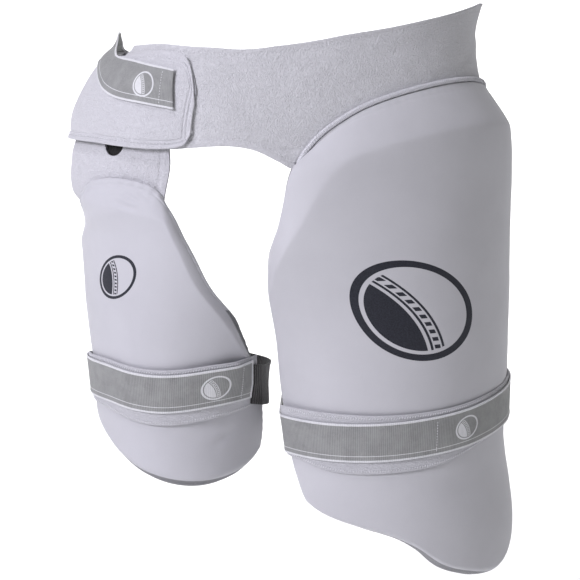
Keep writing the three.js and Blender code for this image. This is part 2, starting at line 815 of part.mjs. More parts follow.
function addPiece(name, geometry, material) {
  const mesh = new THREE.Mesh(geometry, material);
  mesh.name = name;
  guard.add(mesh);
}

const bandFlare = (angle, share) =>
  valueAt(bandRows, "angle", "flare", angle) * fleeceWall * Math.max(0, 1 - share * 2.5) ** 2;

addPiece(
  "waist_band",
  clothStrip(leftForm, bandRows, bandHeight, {
    columns: 58,
    rows: 8,
    inner: bandFlare,
    wall: fleeceWall,
  }),
  fleece,
);
addPiece(
  "closure_flap",
  clothStrip(rightForm, flapRows, flapHeight, {
    columns: 24,
    rows: 8,
    inner: () => fleeceWall + flapGap,
    wall: fleeceWall,
  }),
  fleece,
);
addPiece(
  "hip_strap",
  clothStrip(rightForm, hipStrapRows, strapWidth, {
    columns: 28,
    rows: 4,
    inner: (angle) =>
      fleeceWall +
      flapGap +
      valueAt(hipStrapRows, "angle", "lift", angle) * (fleeceWall + flapGap),
    wall: webbingWall,
  }),
  greyWebbing,
);
addPiece("inner_pad_hanger", hangerSolid(), fleece);
addPiece("hook_patch", hookPatchSolid(), blackHook);
addPiece("outer_thigh_pad", padSolid(outerPad, 20, 28), padCover);
addPiece("inner_thigh_pad", padSolid(innerPad, 18, 22), padCover);
addPiece("outer_pad_piping", pipingSolid(), whiteTrim);

const outerWrap = tautWrap(outerPad, outerStrapDrop, strapWidth * 1.2);
const innerWrap = tautWrap(innerPad, innerStrapDrop, strapWidth * 1.2);
const strapLift = fitGap + loopCloth + strapGap;

addPiece(
  "outer_loop_strip",
  loopStrip(outerWrap, outerLoopRows, outerStrapRise, outerStrapDrop, 22, 2),
  fleece,
);
addPiece(
  "inner_loop_strip",
  loopStrip(innerWrap, innerLoopRows, innerStrapRise, innerStrapDrop, 21, 2),
  fleece,
);
addPiece(
  "outer_thigh_strap",
  thighStrap(outerWrap, {
    drop: outerStrapDrop,
    rise: outerStrapRise,
    width: strapWidth,
    from: -180,
    to: 180,
    columns: 60,
    rows: 2,
    ring: true,
    lift: () => strapLift,
  }),
  greyWebbing,
);
addPiece(
  "inner_thigh_strap",
  thighStrap(innerWrap, {
    drop: innerStrapDrop,
    rise: innerStrapRise,
    width: strapWidth,
    from: -180,
    to: innerStrapEnd,
    columns: 37,
    rows: 2,
    lift: () => strapLift,
  }),
  greyWebbing,
);
addPiece(
  "inner_hook_strap",
  thighStrap(innerWrap, {
    drop: innerStrapDrop,
    rise: hookStrapRise,
    width: hookStrapWidth,
    from: innerStrapEnd + 0.4,
    to: 180 + strapLapAngle,
    columns: 26,
    rows: 2,
    lift: (angle) => {
      const lap = Math.min(Math.max((angle - 150) / 20, 0), 1);
      const bow = valueAt(hookStrapRise, "angle", "bow", angle) * strapWidth;
      return strapLift + bow + lap * (webbingWall + fitGap);
    },
  }),
  blackHook,
);

export default guard;
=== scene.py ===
# Cricket thigh guard: fleece waist belt, large outer pad, small inner pad and elastic straps.
# Metres, +Z up, front at -Y. Tables hold shares of the sizes in the dictionaries beside them.
import json
import math
from types import SimpleNamespace
import bmesh
import bpy
import numpy as np
from mathutils import Matrix, Vector

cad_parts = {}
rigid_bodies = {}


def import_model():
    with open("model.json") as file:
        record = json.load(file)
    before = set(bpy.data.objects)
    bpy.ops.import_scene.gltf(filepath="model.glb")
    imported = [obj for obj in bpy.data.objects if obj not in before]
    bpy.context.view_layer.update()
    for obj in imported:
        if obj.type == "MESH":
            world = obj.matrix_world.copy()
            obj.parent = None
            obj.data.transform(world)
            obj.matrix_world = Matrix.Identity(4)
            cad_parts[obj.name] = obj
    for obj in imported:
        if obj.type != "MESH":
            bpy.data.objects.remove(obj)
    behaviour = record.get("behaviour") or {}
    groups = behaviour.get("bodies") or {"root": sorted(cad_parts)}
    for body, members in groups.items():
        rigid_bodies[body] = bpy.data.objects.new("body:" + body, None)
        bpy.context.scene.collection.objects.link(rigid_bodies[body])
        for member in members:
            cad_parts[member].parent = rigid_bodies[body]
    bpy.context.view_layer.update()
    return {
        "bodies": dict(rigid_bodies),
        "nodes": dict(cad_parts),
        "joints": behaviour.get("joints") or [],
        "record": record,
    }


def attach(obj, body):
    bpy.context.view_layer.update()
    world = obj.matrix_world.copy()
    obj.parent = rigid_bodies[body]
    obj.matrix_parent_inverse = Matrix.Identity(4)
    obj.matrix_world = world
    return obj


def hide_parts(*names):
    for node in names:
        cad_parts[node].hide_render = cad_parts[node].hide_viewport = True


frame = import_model()
mm = 0.001
print("frame loaded")


# tables and the body form that the guard closes round

def table(columns, *rows):
    values = np.array(rows, float)
    return {name: values[:, k] for k, name in enumerate(columns.split())}


# a column's value where the first column, or another key, is x, on a smooth curve through the rows
def valueAt(rows, column, x, key=None):
    xs, ys = rows[key or next(iter(rows))], rows[column]
    last = len(xs) - 1
    x = np.clip(np.asarray(x, float), xs[0], xs[last])
    i = np.clip(np.searchsorted(xs, x) - 1, 0, last - 1)
    lo = np.maximum(np.arange(last + 1) - 1, 0)
    hi = np.minimum(np.arange(last + 1) + 1, last)
    slope = (ys[hi] - ys[lo]) / (xs[hi] - xs[lo])
    span = xs[i + 1] - xs[i]
    t = (x - xs[i]) / span
    return ((2 * t**3 - 3 * t**2 + 1) * ys[i] + (t**3 - 2 * t**2 + t) * span * slope[i]
            + (3 * t**2 - 2 * t**3) * ys[i + 1] + (t**3 - t**2) * span * slope[i + 1])


body = {
    "hipHalfWidth": 190 * mm, "hipHalfDepth": 128 * mm, "waistRise": 80 * mm, "hipDrop": 60 * mm,
    "thighDrop": 400 * mm, "leftOut": 96 * mm, "leftHalf": 96 * mm,
    "rightOut": -91 * mm, "rightHalf": 72 * mm,
}
hipSections = table("level right left front back",
    (1.0, 0.68, 0.955, 0.875, 0.875), (0.66, 0.71, 0.947, 0.898, 0.898),
    (0.5, 0.737, 0.95, 0.915, 0.915), (0.38, 0.792, 0.953, 0.93, 0.93),
    (0.1, 0.88, 0.974, 0.955, 0.96), (-0.33, 0.953, 0.988, 0.977, 0.992),
    (-0.7, 0.974, 1.0, 0.992, 1.008), (-1.0, 1.0, 1.005, 1.0, 1.016))
leftThighSections = table("drop out right left front back",
    (0.15, 0.5, 1.5, 1.49, 1.27, 1.27), (0.325, 0.85, 1.1, 1.148, 1.146, 1.104),
    (0.525, 1.0, 0.93, 1.0, 1.05, 0.95), (0.675, 1.01, 0.88, 0.98, 1.01, 0.91),
    (0.86, 1.02, 0.88, 1.07, 1.0, 0.9), (1.0, 1.02, 0.88, 1.08, 0.98, 0.9))
rightThighSections = table("drop out right left front back",
    (0.08, 0.22, 2.37, 2.1, 1.7, 1.72), (0.12, 0.36, 2.03, 1.9, 1.65, 1.66),
    (0.16, 0.5, 1.73, 1.72, 1.6, 1.6), (0.325, 0.83, 1.25, 1.29, 1.375, 1.26),
    (0.525, 0.99, 0.955, 1.014, 1.19, 0.97), (0.75, 1.01, 0.885, 0.945, 1.11, 0.89),
    (1.0, 1.01, 0.87, 0.93, 1.08, 0.87))


def bodyForm(sections, out, half):
    hips = [(level * (body["waistRise"] if level > 0 else body["hipDrop"]), 0,
             r * body["hipHalfWidth"], l * body["hipHalfWidth"],
             f * body["hipHalfDepth"], b * body["hipHalfDepth"])
            for level, r, l, f, b in zip(*hipSections.values())]
    thigh = [(-body["hipDrop"] - drop * body["thighDrop"], o * out, r * half, l * half, f * half, b * half)
             for drop, o, r, l, f, b in zip(*sections.values())]
    return table("height centre right left front back", *sorted(hips + thigh))


leftForm = bodyForm(leftThighSections, body["leftOut"], body["leftHalf"])
rightForm = bodyForm(rightThighSections, body["rightOut"], body["rightHalf"])


# points on a form at angles from the front, turning to +X, lifted off it
def onForm(form, angle, height, offset):
    turn = np.radians(angle)
    across, ahead = np.sin(turn), np.cos(turn)
    part = {name: valueAt(form, name, height) for name in ("centre", "right", "left", "front", "back")}
    a = np.where(across > 0, part["left"], part["right"])
    b = np.where(ahead > 0, part["front"], part["back"])
    nx, ny = across / a, -ahead / b
    long = np.hypot(nx, ny)
    return np.stack([part["centre"] + a * across + offset * nx / long,
                     -b * ahead + offset * ny / long, height + 0 * a], axis=-1)


# soft unevenness made of a few crossing waves, from -1 to 1
def ripple(x, y, size, seed):
    total = 0
    for k in range(6):
        turn = seed * 1.7 + k * 2.4
        pace = 2 * math.pi / (size * (0.62 + 0.21 * k))
        total = total + np.sin((x * math.cos(turn) + y * math.sin(turn)) * pace + seed * 3.1 + k * k)
    return total / 6


# a soft hill of height 1
def peak(x, at, width):
    return np.exp(-((x - at) / width) ** 2)


# a dent or fold along a line from one spot to another, in the plane of x and y
def foldLine(x, y, line):
    x0, y0, x1, y1, width, depth = line
    long = math.hypot(x1 - x0, y1 - y0)
    ux, uy = (x1 - x0) / long, (y1 - y0) / long
    along = ((x - x0) * ux + (y - y0) * uy) / long
    side = (y - y0) * ux - (x - x0) * uy
    fade = np.clip(1 - np.abs(along - 0.5) * 2, 0, 1) ** 0.6
    banks = 0.45 * peak(np.abs(side), 2 * width, width)
    return depth * fade * (peak(side, 0, width) - banks)


# mesh helpers

# a flat grid bent into place: place(across, down) gives points and cloth coordinates in metres
def bendGrid(bm, columns, rows, place):
    made = bmesh.ops.create_grid(bm, x_segments=columns, y_segments=rows, size=0.5)["verts"]
    flat = np.array([v.co[:] for v in made])
    flat /= np.abs(flat).max()
    points, weave = place(flat[:, 0] / 2 + 0.5, 0.5 - flat[:, 1] / 2)
    spot = {v: k for k, v in enumerate(made)}
    for v, p in zip(made, points):
        v.co = p
    layer = bm.loops.layers.uv.verify()
    for face in {f for v in made for f in v.link_faces}:
        for loop in face.loops:
            loop[layer].uv = weave[spot[loop.vert]]
    return made


def meshFrom(bm, name):
    mesh = bpy.data.meshes.new(name)
    bm.to_mesh(mesh)
    bm.free()
    return mesh


def placed(name, data):
    made = bpy.data.objects.new(name, data)
    bpy.context.scene.collection.objects.link(made)
    return made


def pieceFrom(bm, name, material):
    mesh = meshFrom(bm, name)
    mesh.shade_smooth()
    mesh.materials.append(material)
    piece = placed(name, mesh)
    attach(piece, "root")
    return piece


def wallOf(piece, wall, turned):
    solid = piece.modifiers.new("wall", "SOLIDIFY")
    solid.thickness, solid.offset, solid.use_even_offset = wall, -1, False
    edge = piece.modifiers.new("turnedEdge", "BEVEL")
    edge.width, edge.segments, edge.limit_method, edge.angle_limit = turned, 3, "ANGLE", math.radians(50)


# one sheet of cloth between two edges, closed into a ring where it meets itself
def sheetPiece(name, node, spec, place, material, ring=False, cut=None, rim=None):
    bm = bmesh.new()
    bendGrid(bm, spec["columns"], spec["rows"], place)
    if ring:
        bmesh.ops.remove_doubles(bm, verts=bm.verts, dist=0.05 * mm)
    if cut:
        cut(bm)
    area = sum(f.calc_area() for f in bm.faces)
    piece = pieceFrom(bm, name, material)
    wallOf(piece, spec["wall"], spec["round"])
    # a second material on the side wall and turned edge: dark painted shade along the cloth's edges
    if rim:
        piece.data.materials.append(rim)
        piece.modifiers["wall"].material_offset_rim = 1
        piece.modifiers["turnedEdge"].material = 1
    stations = 200
    long = clothRun(place(np.linspace(0, 1, stations), np.full(stations, 0.5))[0])[-1]
    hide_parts(node)


# a cloth surface between the top and bottom rows of a table, at shares across and down
def rowSurface(form, rows, size, offset, base=0.0):
    def surface(across, down):
        angle = angleAlong(rows, across)
        top = base + valueAt(rows, "top", angle) * size
        bottom = base + valueAt(rows, "bottom", angle) * size
        height = top + (bottom - top) * down
        turned = angle + (valueAt(rows, "lean", angle) * down if "lean" in rows else 0)
        return onForm(form, turned, height, offset(angle, height, top, bottom))
    return surface


def angleAlong(rows, across):
    return rows["angle"][0] + (rows["angle"][-1] - rows["angle"][0]) * across


# points and cloth coordinates: along the length, and across the width or by height
def clothPlace(surface, length, width=None, ease=0.0):
    def place(across, down):
        points = surface(across, eased(down, ease))
        return points, np.stack([across * length, (0.5 - down) * width if width else points[:, 2]], axis=-1)
    return place


def unit(vectors):
    return vectors / np.linalg.norm(vectors, axis=1)[:, None]


# shares along a row, closer together at both ends
def eased(share, much):
    return (1 - much) * share + much * (0.5 - 0.5 * np.cos(np.pi * share))


def clothRun(points):
    return np.concatenate([[0], np.cumsum(np.linalg.norm(np.diff(points, axis=0), axis=1))])


# spots for stitches along a path of shares on a surface: point, direction and outward normal
def stitchSpots(surface, across, down, pitch, skew):
    reach = clothRun(surface(across, down))
    stations = np.arange(pitch / 2, reach[-1], pitch)

    def sharesAt(run):
        return np.interp(run, reach, across), np.interp(run, reach, down)

    a, d = sharesAt(stations)
    step = 1e-3
    da = surface(np.minimum(a + step, 1), d) - surface(np.maximum(a - step, 0), d)
    dd = surface(a, np.minimum(d + step, 1)) - surface(a, np.maximum(d - step, 0))
    out = unit(np.cross(dd, da))
    along = unit(surface(*sharesAt(stations + pitch * 0.1)) - surface(*sharesAt(stations - pitch * 0.1)))
    along = along * math.cos(skew) + np.cross(out, along) * math.sin(skew)
    return [(Vector(p), Vector(t), Vector(o)) for p, t, o in zip(surface(a, d), along, out)]


# threads: small beads of yarn drawn out along each stitch
def sewStitches(bm, spots, long, thick):
    sink = 0.3  # the share of a thread that lies in the cloth
    for point, along, out in spots:
        side = out.cross(along)
        grip = Matrix((along * long / 2, side * thick / 2, out * thick / 2)).transposed().to_4x4()
        grip.translation = point + out * thick * (0.5 - sink)
        bmesh.ops.create_icosphere(bm, subdivisions=1, radius=1, matrix=grip)


# materials

def setInputs(node, values):
    for key, value in values.items():
        node.inputs[key].default_value = value


# a material with its constants set, and short makers of its nodes
def newCloth(name, constants):
    material = bpy.data.materials.new(name)
    material.use_nodes = True
    tree = material.node_tree
    shader = tree.nodes["Principled BSDF"]
    setInputs(shader, constants)

    # inputs are linked or set; i0 stands for the first one
    def add(kind, settings=None, **inputs):
        made = tree.nodes.new(kind)
        for key, value in (settings or {}).items():
            setattr(made, key, value)
        for key, value in inputs.items():
            socket = made.inputs[int(key[1:])] if key[0] == "i" and key[1:].isdigit() else made.inputs[key]
            if isinstance(value, bpy.types.NodeSocket):
                tree.links.new(value, socket)
            else:
                socket.default_value = value
        return made

    place = add("ShaderNodeTexCoord").outputs

    def reckon(a, b, kind="ADD"):
        return add("ShaderNodeMath", {"operation": kind}, i0=a, i1=b).outputs[0]

    def vector(a, b, kind):
        return add("ShaderNodeVectorMath", {"operation": kind}, i0=a, i1=b).outputs[0]

    def length(a):
        return add("ShaderNodeVectorMath", {"operation": "LENGTH"}, i0=a).outputs["Value"]

    # a sum of values times their weights
    def weigh(first, *rest):
        part = reckon(*first, "MULTIPLY")
        return reckon(part, weigh(*rest)) if rest else part

    # whether a value is within some way of a middle
    def near(value, middle, way):
        return reckon(reckon(reckon(value, middle, "SUBTRACT"), 0.0, "ABSOLUTE"), way, "LESS_THAN")

    def noise(scale, detail=2.0, rough=0.5, warp=0.0):
        return add("ShaderNodeTexNoise", None, Vector=place["Object"], Scale=scale, Detail=detail, Roughness=rough,
                   Distortion=warp).outputs[0]

    def cells(scale):
        return add("ShaderNodeTexVoronoi", None, Vector=place["Object"], Scale=scale).outputs["Distance"]

    def waves(direction, scale, warp, detail=2.0, where="UV"):
        return add("ShaderNodeTexWave", {"wave_type": "BANDS", "bands_direction": direction}, Vector=place[where],
                   Scale=scale, Distortion=warp, Detail=detail).outputs["Fac"]

    def ramp(value, *stops):
        made = add("ShaderNodeValToRGB", None, Fac=value)
        for element, (spot, colour) in zip(made.color_ramp.elements, stops):
            element.position, element.color = spot, (*colour, 1)
        return made.outputs["Color"]

    def mix(share, a, b):
        return add("ShaderNodeMix", {"data_type": "RGBA"}, i0=share, i6=a, i7=b).outputs[2]

    def finish(colour, height, depth, roughness=None):
        tree.links.new(colour, shader.inputs["Base Color"])
        if roughness:
            tree.links.new(roughness, shader.inputs["Roughness"])
        bump = add("ShaderNodeBump", None, Height=height, Distance=depth, Strength=1.0)
        tree.links.new(bump.outputs[0], shader.inputs["Normal"])
        return material

    def parts(value):
        return add("ShaderNodeSeparateXYZ", None, Vector=value).outputs

    return SimpleNamespace(reckon=reckon, vector=vector, length=length, weigh=weigh, near=near, noise=noise,
                           cells=cells, waves=waves, ramp=ramp, mix=mix, finish=finish, parts=parts,
                           flat=place["UV"])


# brushed loop fleece: cloudy nap, short fibres and small pills
def fleeceMaterial(name, dark, light, nap=1.0):
    cloth = newCloth(name, {"Roughness": 0.95, "Specular IOR Level": 0.2, "Sheen Weight": 0.35, "Sheen Roughness": 0.6})
    cloud, fibre, wide = cloth.noise(300.0, 3.0, 0.6, 2.2), cloth.noise(760.0, 4.0, 0.75), cloth.noise(17.0, 3.0)
    colour = cloth.ramp(cloth.weigh((cloud, 0.35), (fibre, 0.35), (wide, 0.3)), (0.32, dark), (0.68, light))
    height = cloth.weigh((fibre, 0.5), (cloud, 1.5), (cloth.cells(760.0), -0.35))
    return cloth.finish(colour, height, 1.1 * mm * nap)


# round ball print: a ring, a stitched seam across it and one dark half, at a place in the cloth's own coordinates
def ballPrint(cloth, centre, radius):
    reckon, near = cloth.reckon, cloth.near
    flat = cloth.vector(cloth.vector(cloth.flat, (*centre, 0), "SUBTRACT"), (1 / radius, 1 / radius, 0), "MULTIPLY")
    away = cloth.length(flat)
    reach = cloth.length(cloth.vector(flat, (-2.1, -0.9, 0), "SUBTRACT"))
    dash = reckon(reckon(reckon(cloth.parts(flat)[1], 6.5, "MULTIPLY"), 0.0, "FRACT"), 0.5, "LESS_THAN")
    darkHalf = reckon(reach, 2.12, "LESS_THAN")
    seam = reckon(near(reach, 2.2, 0.022), near(reach, 2.4, 0.022), "MAXIMUM")
    stitched = reckon(near(reach, 2.3, 0.05), dash, "MULTIPLY")
    drawn = reckon(reckon(darkHalf, seam, "MAXIMUM"), stitched, "MAXIMUM")
    inside = reckon(away, 0.8, "LESS_THAN")
    return reckon(near(away, 0.935, 0.065), reckon(drawn, inside, "MULTIPLY"), "MAXIMUM")


# stretch cover of the pads: fine knit, faint sheen, soft cloudiness and a dark round print
def coverMaterial(name, light, dark, motif, motifRadius):
    cloth = newCloth(name, {"Roughness": 0.62, "Specular IOR Level": 0.32, "Sheen Weight": 0.2,
                            "Sheen Roughness": 0.45})
    cloud, grain = cloth.noise(14.0, 4.0, 0.6), cloth.noise(900.0, 3.0)
    knit = cloth.reckon(cloth.waves("X", 390.0, 0.4, 1.0), cloth.waves("Y", 480.0, 0.5, 1.0), "MULTIPLY")
    base = cloth.ramp(cloth.weigh((cloud, 0.7), (grain, 0.18), (knit, 0.12)), (0.34, dark), (0.62, light))
    ink = cloth.ramp(grain, (0.3, (0.012, 0.013, 0.02)), (0.7, (0.026, 0.028, 0.04)))
    colour = cloth.mix(ballPrint(cloth, motif, motifRadius), base, ink)
    return cloth.finish(colour, cloth.weigh((knit, 0.5), (grain, 0.35)), 0.09 * mm)


# woven elastic: cross ribs, a paler shiny border along both edges and a thin pale line beside one
def elasticMaterial(name, half, lineAt, motif, motifRadius, endAt=9.0):
    cloth = newCloth(name, {"Specular IOR Level": 0.4, "Sheen Weight": 0.12})
    reckon, (along, across, _) = cloth.reckon, cloth.parts(cloth.flat)
    border = reckon(reckon(reckon(across, 0.0, "ABSOLUTE"), half - 1.9 * mm, "GREATER_THAN"),
                    reckon(along, endAt - 2.2 * mm, "GREATER_THAN"), "MAXIMUM")
    weave = cloth.weigh((cloth.waves("X", 235.0, 0.15), 0.6), (cloth.waves("Y", 330.0, 0.3), 0.25))
    dirt, yarn = cloth.noise(70.0, 5.0, 0.7), cloth.noise(1100.0)
    tone = cloth.weigh((dirt, 0.5), (weave, 0.35), (yarn, 0.15))
    grey = cloth.ramp(tone, (0.3, (0.225, 0.228, 0.222)), (0.62, (0.375, 0.38, 0.37)))
    white = cloth.ramp(tone, (0.25, (0.62, 0.63, 0.64)), (0.6, (0.83, 0.83, 0.84)))
    marks = reckon(border, cloth.near(across, lineAt, 0.28 * mm), "MAXIMUM")
    marks = reckon(marks, ballPrint(cloth, motif, motifRadius), "MAXIMUM")
    return cloth.finish(cloth.mix(marks, grey, white), reckon(weave, reckon(border, 0.25, "MULTIPLY")), 0.35 * mm,
                        cloth.ramp(border, (0.2, (0.7, 0.7, 0.7)), (0.8, (0.42, 0.42, 0.42))))


# stiff hooks: dark tape with rows of tiny hooks
def hookMaterial(name, colour):
    cloth = newCloth(name, {"Roughness": 0.8, "Sheen Weight": 0.25})
    ribs, lint = cloth.waves("X", 110.0, 0.6, 1.0), cloth.noise(160.0, 6.0, 0.8)
    dark, light = [c * 0.55 for c in colour], [c * 1.7 for c in colour]
    tone = cloth.ramp(cloth.weigh((lint, 0.6), (ribs, 0.4)), (0.35, dark), (0.7, light))
    return cloth.finish(tone, cloth.weigh((cloth.cells(650.0), -0.5), (ribs, 0.5)), 0.6 * mm)


# twisted thread and braided piping
def yarnMaterial(name, dark, light, twist=420.0):
    cloth = newCloth(name, {"Roughness": 0.6, "Sheen Weight": 0.2})
    tone = cloth.weigh((cloth.waves("DIAGONAL", twist, 1.0, 2.0, "Object"), 0.5), (cloth.noise(500.0, 4.0), 0.5))
    return cloth.finish(cloth.ramp(tone, (0.25, dark), (0.65, light)), tone, 0.25 * mm)


beltFleece = fleeceMaterial("beltFleece", (0.61, 0.608, 0.625), (0.765, 0.762, 0.785))
flapFleece = fleeceMaterial("flapFleece", (0.595, 0.592, 0.615), (0.715, 0.712, 0.74), 0.8)
hangerFleece = fleeceMaterial("hangerFleece", (0.63, 0.625, 0.655), (0.77, 0.765, 0.80), 1.1)
loopNap = fleeceMaterial("loopNap", (0.515, 0.513, 0.535), (0.64, 0.637, 0.665), 0.7)
# painted shade: dark grey fleece for the rims and turned edges of the belt and the hanger, standing in for the shade
# along their edges
paintedShadeRim = fleeceMaterial("paintedShadeRim", (0.2, 0.2, 0.22), (0.3, 0.3, 0.32), 0.5)
whiteThread = yarnMaterial("whiteThread", (0.6, 0.6, 0.62), (0.86, 0.86, 0.88))
whiteCord = yarnMaterial("whiteCord", (0.5, 0.5, 0.53), (0.8, 0.8, 0.83), 300.0)
hookTape = hookMaterial("hookTape", (0.022, 0.02, 0.019))
print("materials made")


# waist belt

belt = {"height": 88 * mm, "wall": 3 * mm, "round": 0.9 * mm, "hem": 6.5 * mm, "columns": 460, "rows": 52}
bandRows = table("angle top bottom flare",
    (-62, 0.475, -0.44, 0), (-45, 0.506, -0.466, 0), (-30, 0.489, -0.505, 0),
    (-22, 0.483, -0.483, 0), (-12, 0.469, -0.461, 0), (-5, 0.48, -0.502, 0),
    (1.5, 0.506, -0.608, 0), (5.6, 0.523, -0.69, 0), (12, 0.557, -0.6, 0), (20, 0.608, -0.42, 0),
    (32, 0.665, -0.21, 0), (46, 0.739, -0.11, 0), (58, 0.795, -0.08, 0), (72, 0.85, -0.08, 0.6),
    (86, 0.88, -0.12, 1.6), (98, 0.85, -0.19, 1.4), (115, 0.727, -0.32, 0.4),
    (140, 0.52, -0.4, 0), (180, 0.34, -0.47, 0), (215, 0.33, -0.49, 0), (250, 0.35, -0.48, 0))
# folds in the belt's front: angle and height of both ends, width and depth, in degrees and millimetres
beltFolds = [
    (-47, 36, -24, 30, 2.4, -0.9), (-40, 28, -12, 33, 3.0, -0.6), (-20, -33, 2, -41, 2.6, -0.5),
    (-4, -42.5, 9, -45, 1.2, -1.0), (0, -49, 9, -51.5, 1.0, -0.7),
    (20, 30, 48, 46, 5.0, -0.5), (60, 20, 80, 44, 5.0, -0.8), (84, 8, 92, 60, 4.5, -0.9),
]
hipRun = 0.00285  # metres of cloth for one degree round the hips


def hemProfile(fromEdge, hem, lift):
    groove = 0.9 * lift * peak(fromEdge, hem, 0.9 * mm)
    return lift * peak(fromEdge, hem * 0.45, hem * 0.42) - groove


def beltOffset(angle, height, top, bottom):
    share = (top - height) / (top - bottom)
    x = angle * hipRun
    flare = valueAt(bandRows, "flare", angle) * belt["wall"] * np.maximum(0, 1 - share * 2.5) ** 2
    soft = 0.55 * mm * ripple(x, height, 0.055, 3) + 0.25 * mm * ripple(x, height, 0.018, 5)
    folds = sum(foldLine(x, height, (a * hipRun, h * mm, b * hipRun, k * mm, w * mm, d * mm))
                for a, h, b, k, w, d in beltFolds)
    hem = (hemProfile(height - bottom, belt["hem"], 0.7 * mm) + hemProfile(top - height, 4 * mm, 0.35 * mm))
    return belt["wall"] + flare + soft * np.clip(share * 6, 0, 1) + folds + hem


beltSurface = rowSurface(leftForm, bandRows, belt["height"], beltOffset)
# the belt's rims get the dark painted shade
sheetPiece("waistBelt", "waist_band", belt, clothPlace(beltSurface, 0.9, ease=0.5), beltFleece,
           rim=paintedShadeRim)
print("belt made")


# closing flap and the strap over it

flap = {"height": 82 * mm, "wall": 3 * mm, "inner": 3.8 * mm, "round": 1.0 * mm, "columns": 210, "rows": 84}
flapRows = table("angle top bottom",
    (-122, 0.37, -0.53), (-104, 0.385, -0.54), (-86, 0.385, -0.54), (-70, 0.385, -0.525),
    (-58, 0.41, -0.515), (-47, 0.466, -0.53), (-37, 0.463, -0.54), (-32, 0.437, -0.538),
    (-29, 0.393, -0.53), (-26.4, 0.29, -0.515), (-24, 0.12, -0.475), (-22.6, -0.06, -0.38))


def flapOffset(angle, height, top, bottom):
    x = angle * hipRun
    endGap = (flapRows["angle"][-1] - angle) * hipRun
    rim = np.minimum(np.minimum(top - height, height - bottom), endGap)
    soft = 0.35 * mm * ripple(x, height, 0.04, 7)
    lip = 0.9 * mm * peak(height - bottom, 1.5 * mm, 2.4 * mm)
    seam = sum(-0.9 * mm * peak(rim, at * mm, 0.7 * mm) for at in (3.6, 6.6))
    return flap["inner"] + flap["wall"] + soft + lip + seam


flapSurface = rowSurface(rightForm, flapRows, flap["height"], flapOffset)


def flapPlace(across, down):
    points = flapSurface(1 - (1 - across) ** 1.35, eased(down, 0.4))
    return points, np.stack([across * 0.29, points[:, 2]], axis=-1)


sheetPiece("closureFlap", "closure_flap", flap, flapPlace, flapFleece)

hipStrap = {"width": 36 * mm, "wall": 1.3 * mm, "round": 0.3 * mm, "inner": 3.8 * mm, "lap": 3.8 * mm,
            "columns": 260, "rows": 22}
hipStrapRows = table("angle top bottom lift lean",
    (-156, 0.64, -0.34, 0, 0), (-136, 0.68, -0.28, 0, 0), (-122, 0.8, -0.1, 1, 0),
    (-108, 1.02, 0.2, 1, 0), (-99, 1.26, 0.5, 1, 0), (-92, 1.43, 0.7, 1, 0), (-82, 1.32, 0.68, 1, 0),
    (-73, 1.09, 0.53, 1, 0), (-65, 0.94, 0.29, 1, 0), (-59, 0.89, 0.09, 1, 0.3),
    (-52, 0.86, -0.06, 1, 0.9), (-42, 0.77, -0.16, 1, 2.4), (-31.8, 0.675, -0.27, 1, 3.7))


def hipStrapOffset(angle, height, top, bottom):
    lift = hipStrap["inner"] + valueAt(hipStrapRows, "lift", angle) * hipStrap["lap"]
    fromEnd = (hipStrapRows["angle"][-1] - angle) * hipRun
    hem = 0.75 * mm * (1 - np.tanh((fromEnd - 4.6 * mm) / (0.6 * mm)))  # the end is folded over twice
    bead = 0.25 * mm * (np.abs((top - height) / (top - bottom) - 0.5) > 0.42)
    soft = 0.4 * mm * ripple(angle * hipRun, height, 0.05, 2)
    return lift + hipStrap["wall"] + hem + bead + np.maximum(soft, -0.1 * mm)


hipStrapSurface = rowSurface(rightForm, hipStrapRows, hipStrap["width"], hipStrapOffset)
hipElastic = elasticMaterial("hipElastic", 18 * mm, -11.5 * mm, (0.329, -0.5 * mm), 11.5 * mm)
sheetPiece("hipStrap", "hip_strap", hipStrap, clothPlace(hipStrapSurface, 0.36, hipStrap["width"]),
           hipElastic)
print("flap and hip strap made")


# hanger of the inner pad, with its hole and the dark patch behind

hanger = {"drop": 108 * mm, "top": -25 * mm, "wall": 3 * mm, "inner": -3.5 * mm, "round": 0.9 * mm,
          "holeAngle": -50.3, "holeDrop": 17 * mm, "holeRadius": 11.5 * mm, "columns": 150, "rows": 70}
hangerRows = table("angle top bottom lean",
    (-101, 0, -1.0, 0), (-86, 0, -0.92, 0), (-70, 0, -0.78, 0), (-58, 0, -0.64, 1),
    (-46, 0, -0.57, 2), (-37, 0, -0.6, 3), (-30.8, 0, -0.68, 4.2))
hangerRun = 0.00262  # metres of cloth for one degree at the hanger


def hangerOffset(angle, height, top, bottom):
    fromFront = (hangerRows["angle"][-1] - angle) * hangerRun
    hem = 0.5 * mm * (peak(fromFront, 3 * mm, 2.4 * mm) - peak(fromFront, 6.6 * mm, 0.8 * mm))
    fromHole = np.hypot((angle - hanger["holeAngle"]) * hangerRun, height - hanger["top"] + hanger["holeDrop"])
    rim = 0.4 * mm * peak(fromHole - hanger["holeRadius"], 1.5 * mm, 1.3 * mm)
    return hanger["inner"] + hanger["wall"] + hem + rim + 0.3 * mm * ripple(angle * hangerRun, height, 0.03, 4)


hangerSurface = rowSurface(rightForm, hangerRows, hanger["drop"], hangerOffset, hanger["top"])


# spots round the hole's middle, by metres across and up, at a distance out from the form
def nearHole(across, up, out):
    angle, height = across / hangerRun + hanger["holeAngle"], up + hanger["top"] - hanger["holeDrop"]
    return Vector(onForm(rightForm, np.array([angle]), np.array([height]), out)[0])


holeMiddle = nearHole(0, 0, -0.5 * mm)
holeOut = (nearHole(0, 0, 9.5 * mm) - holeMiddle).normalized()


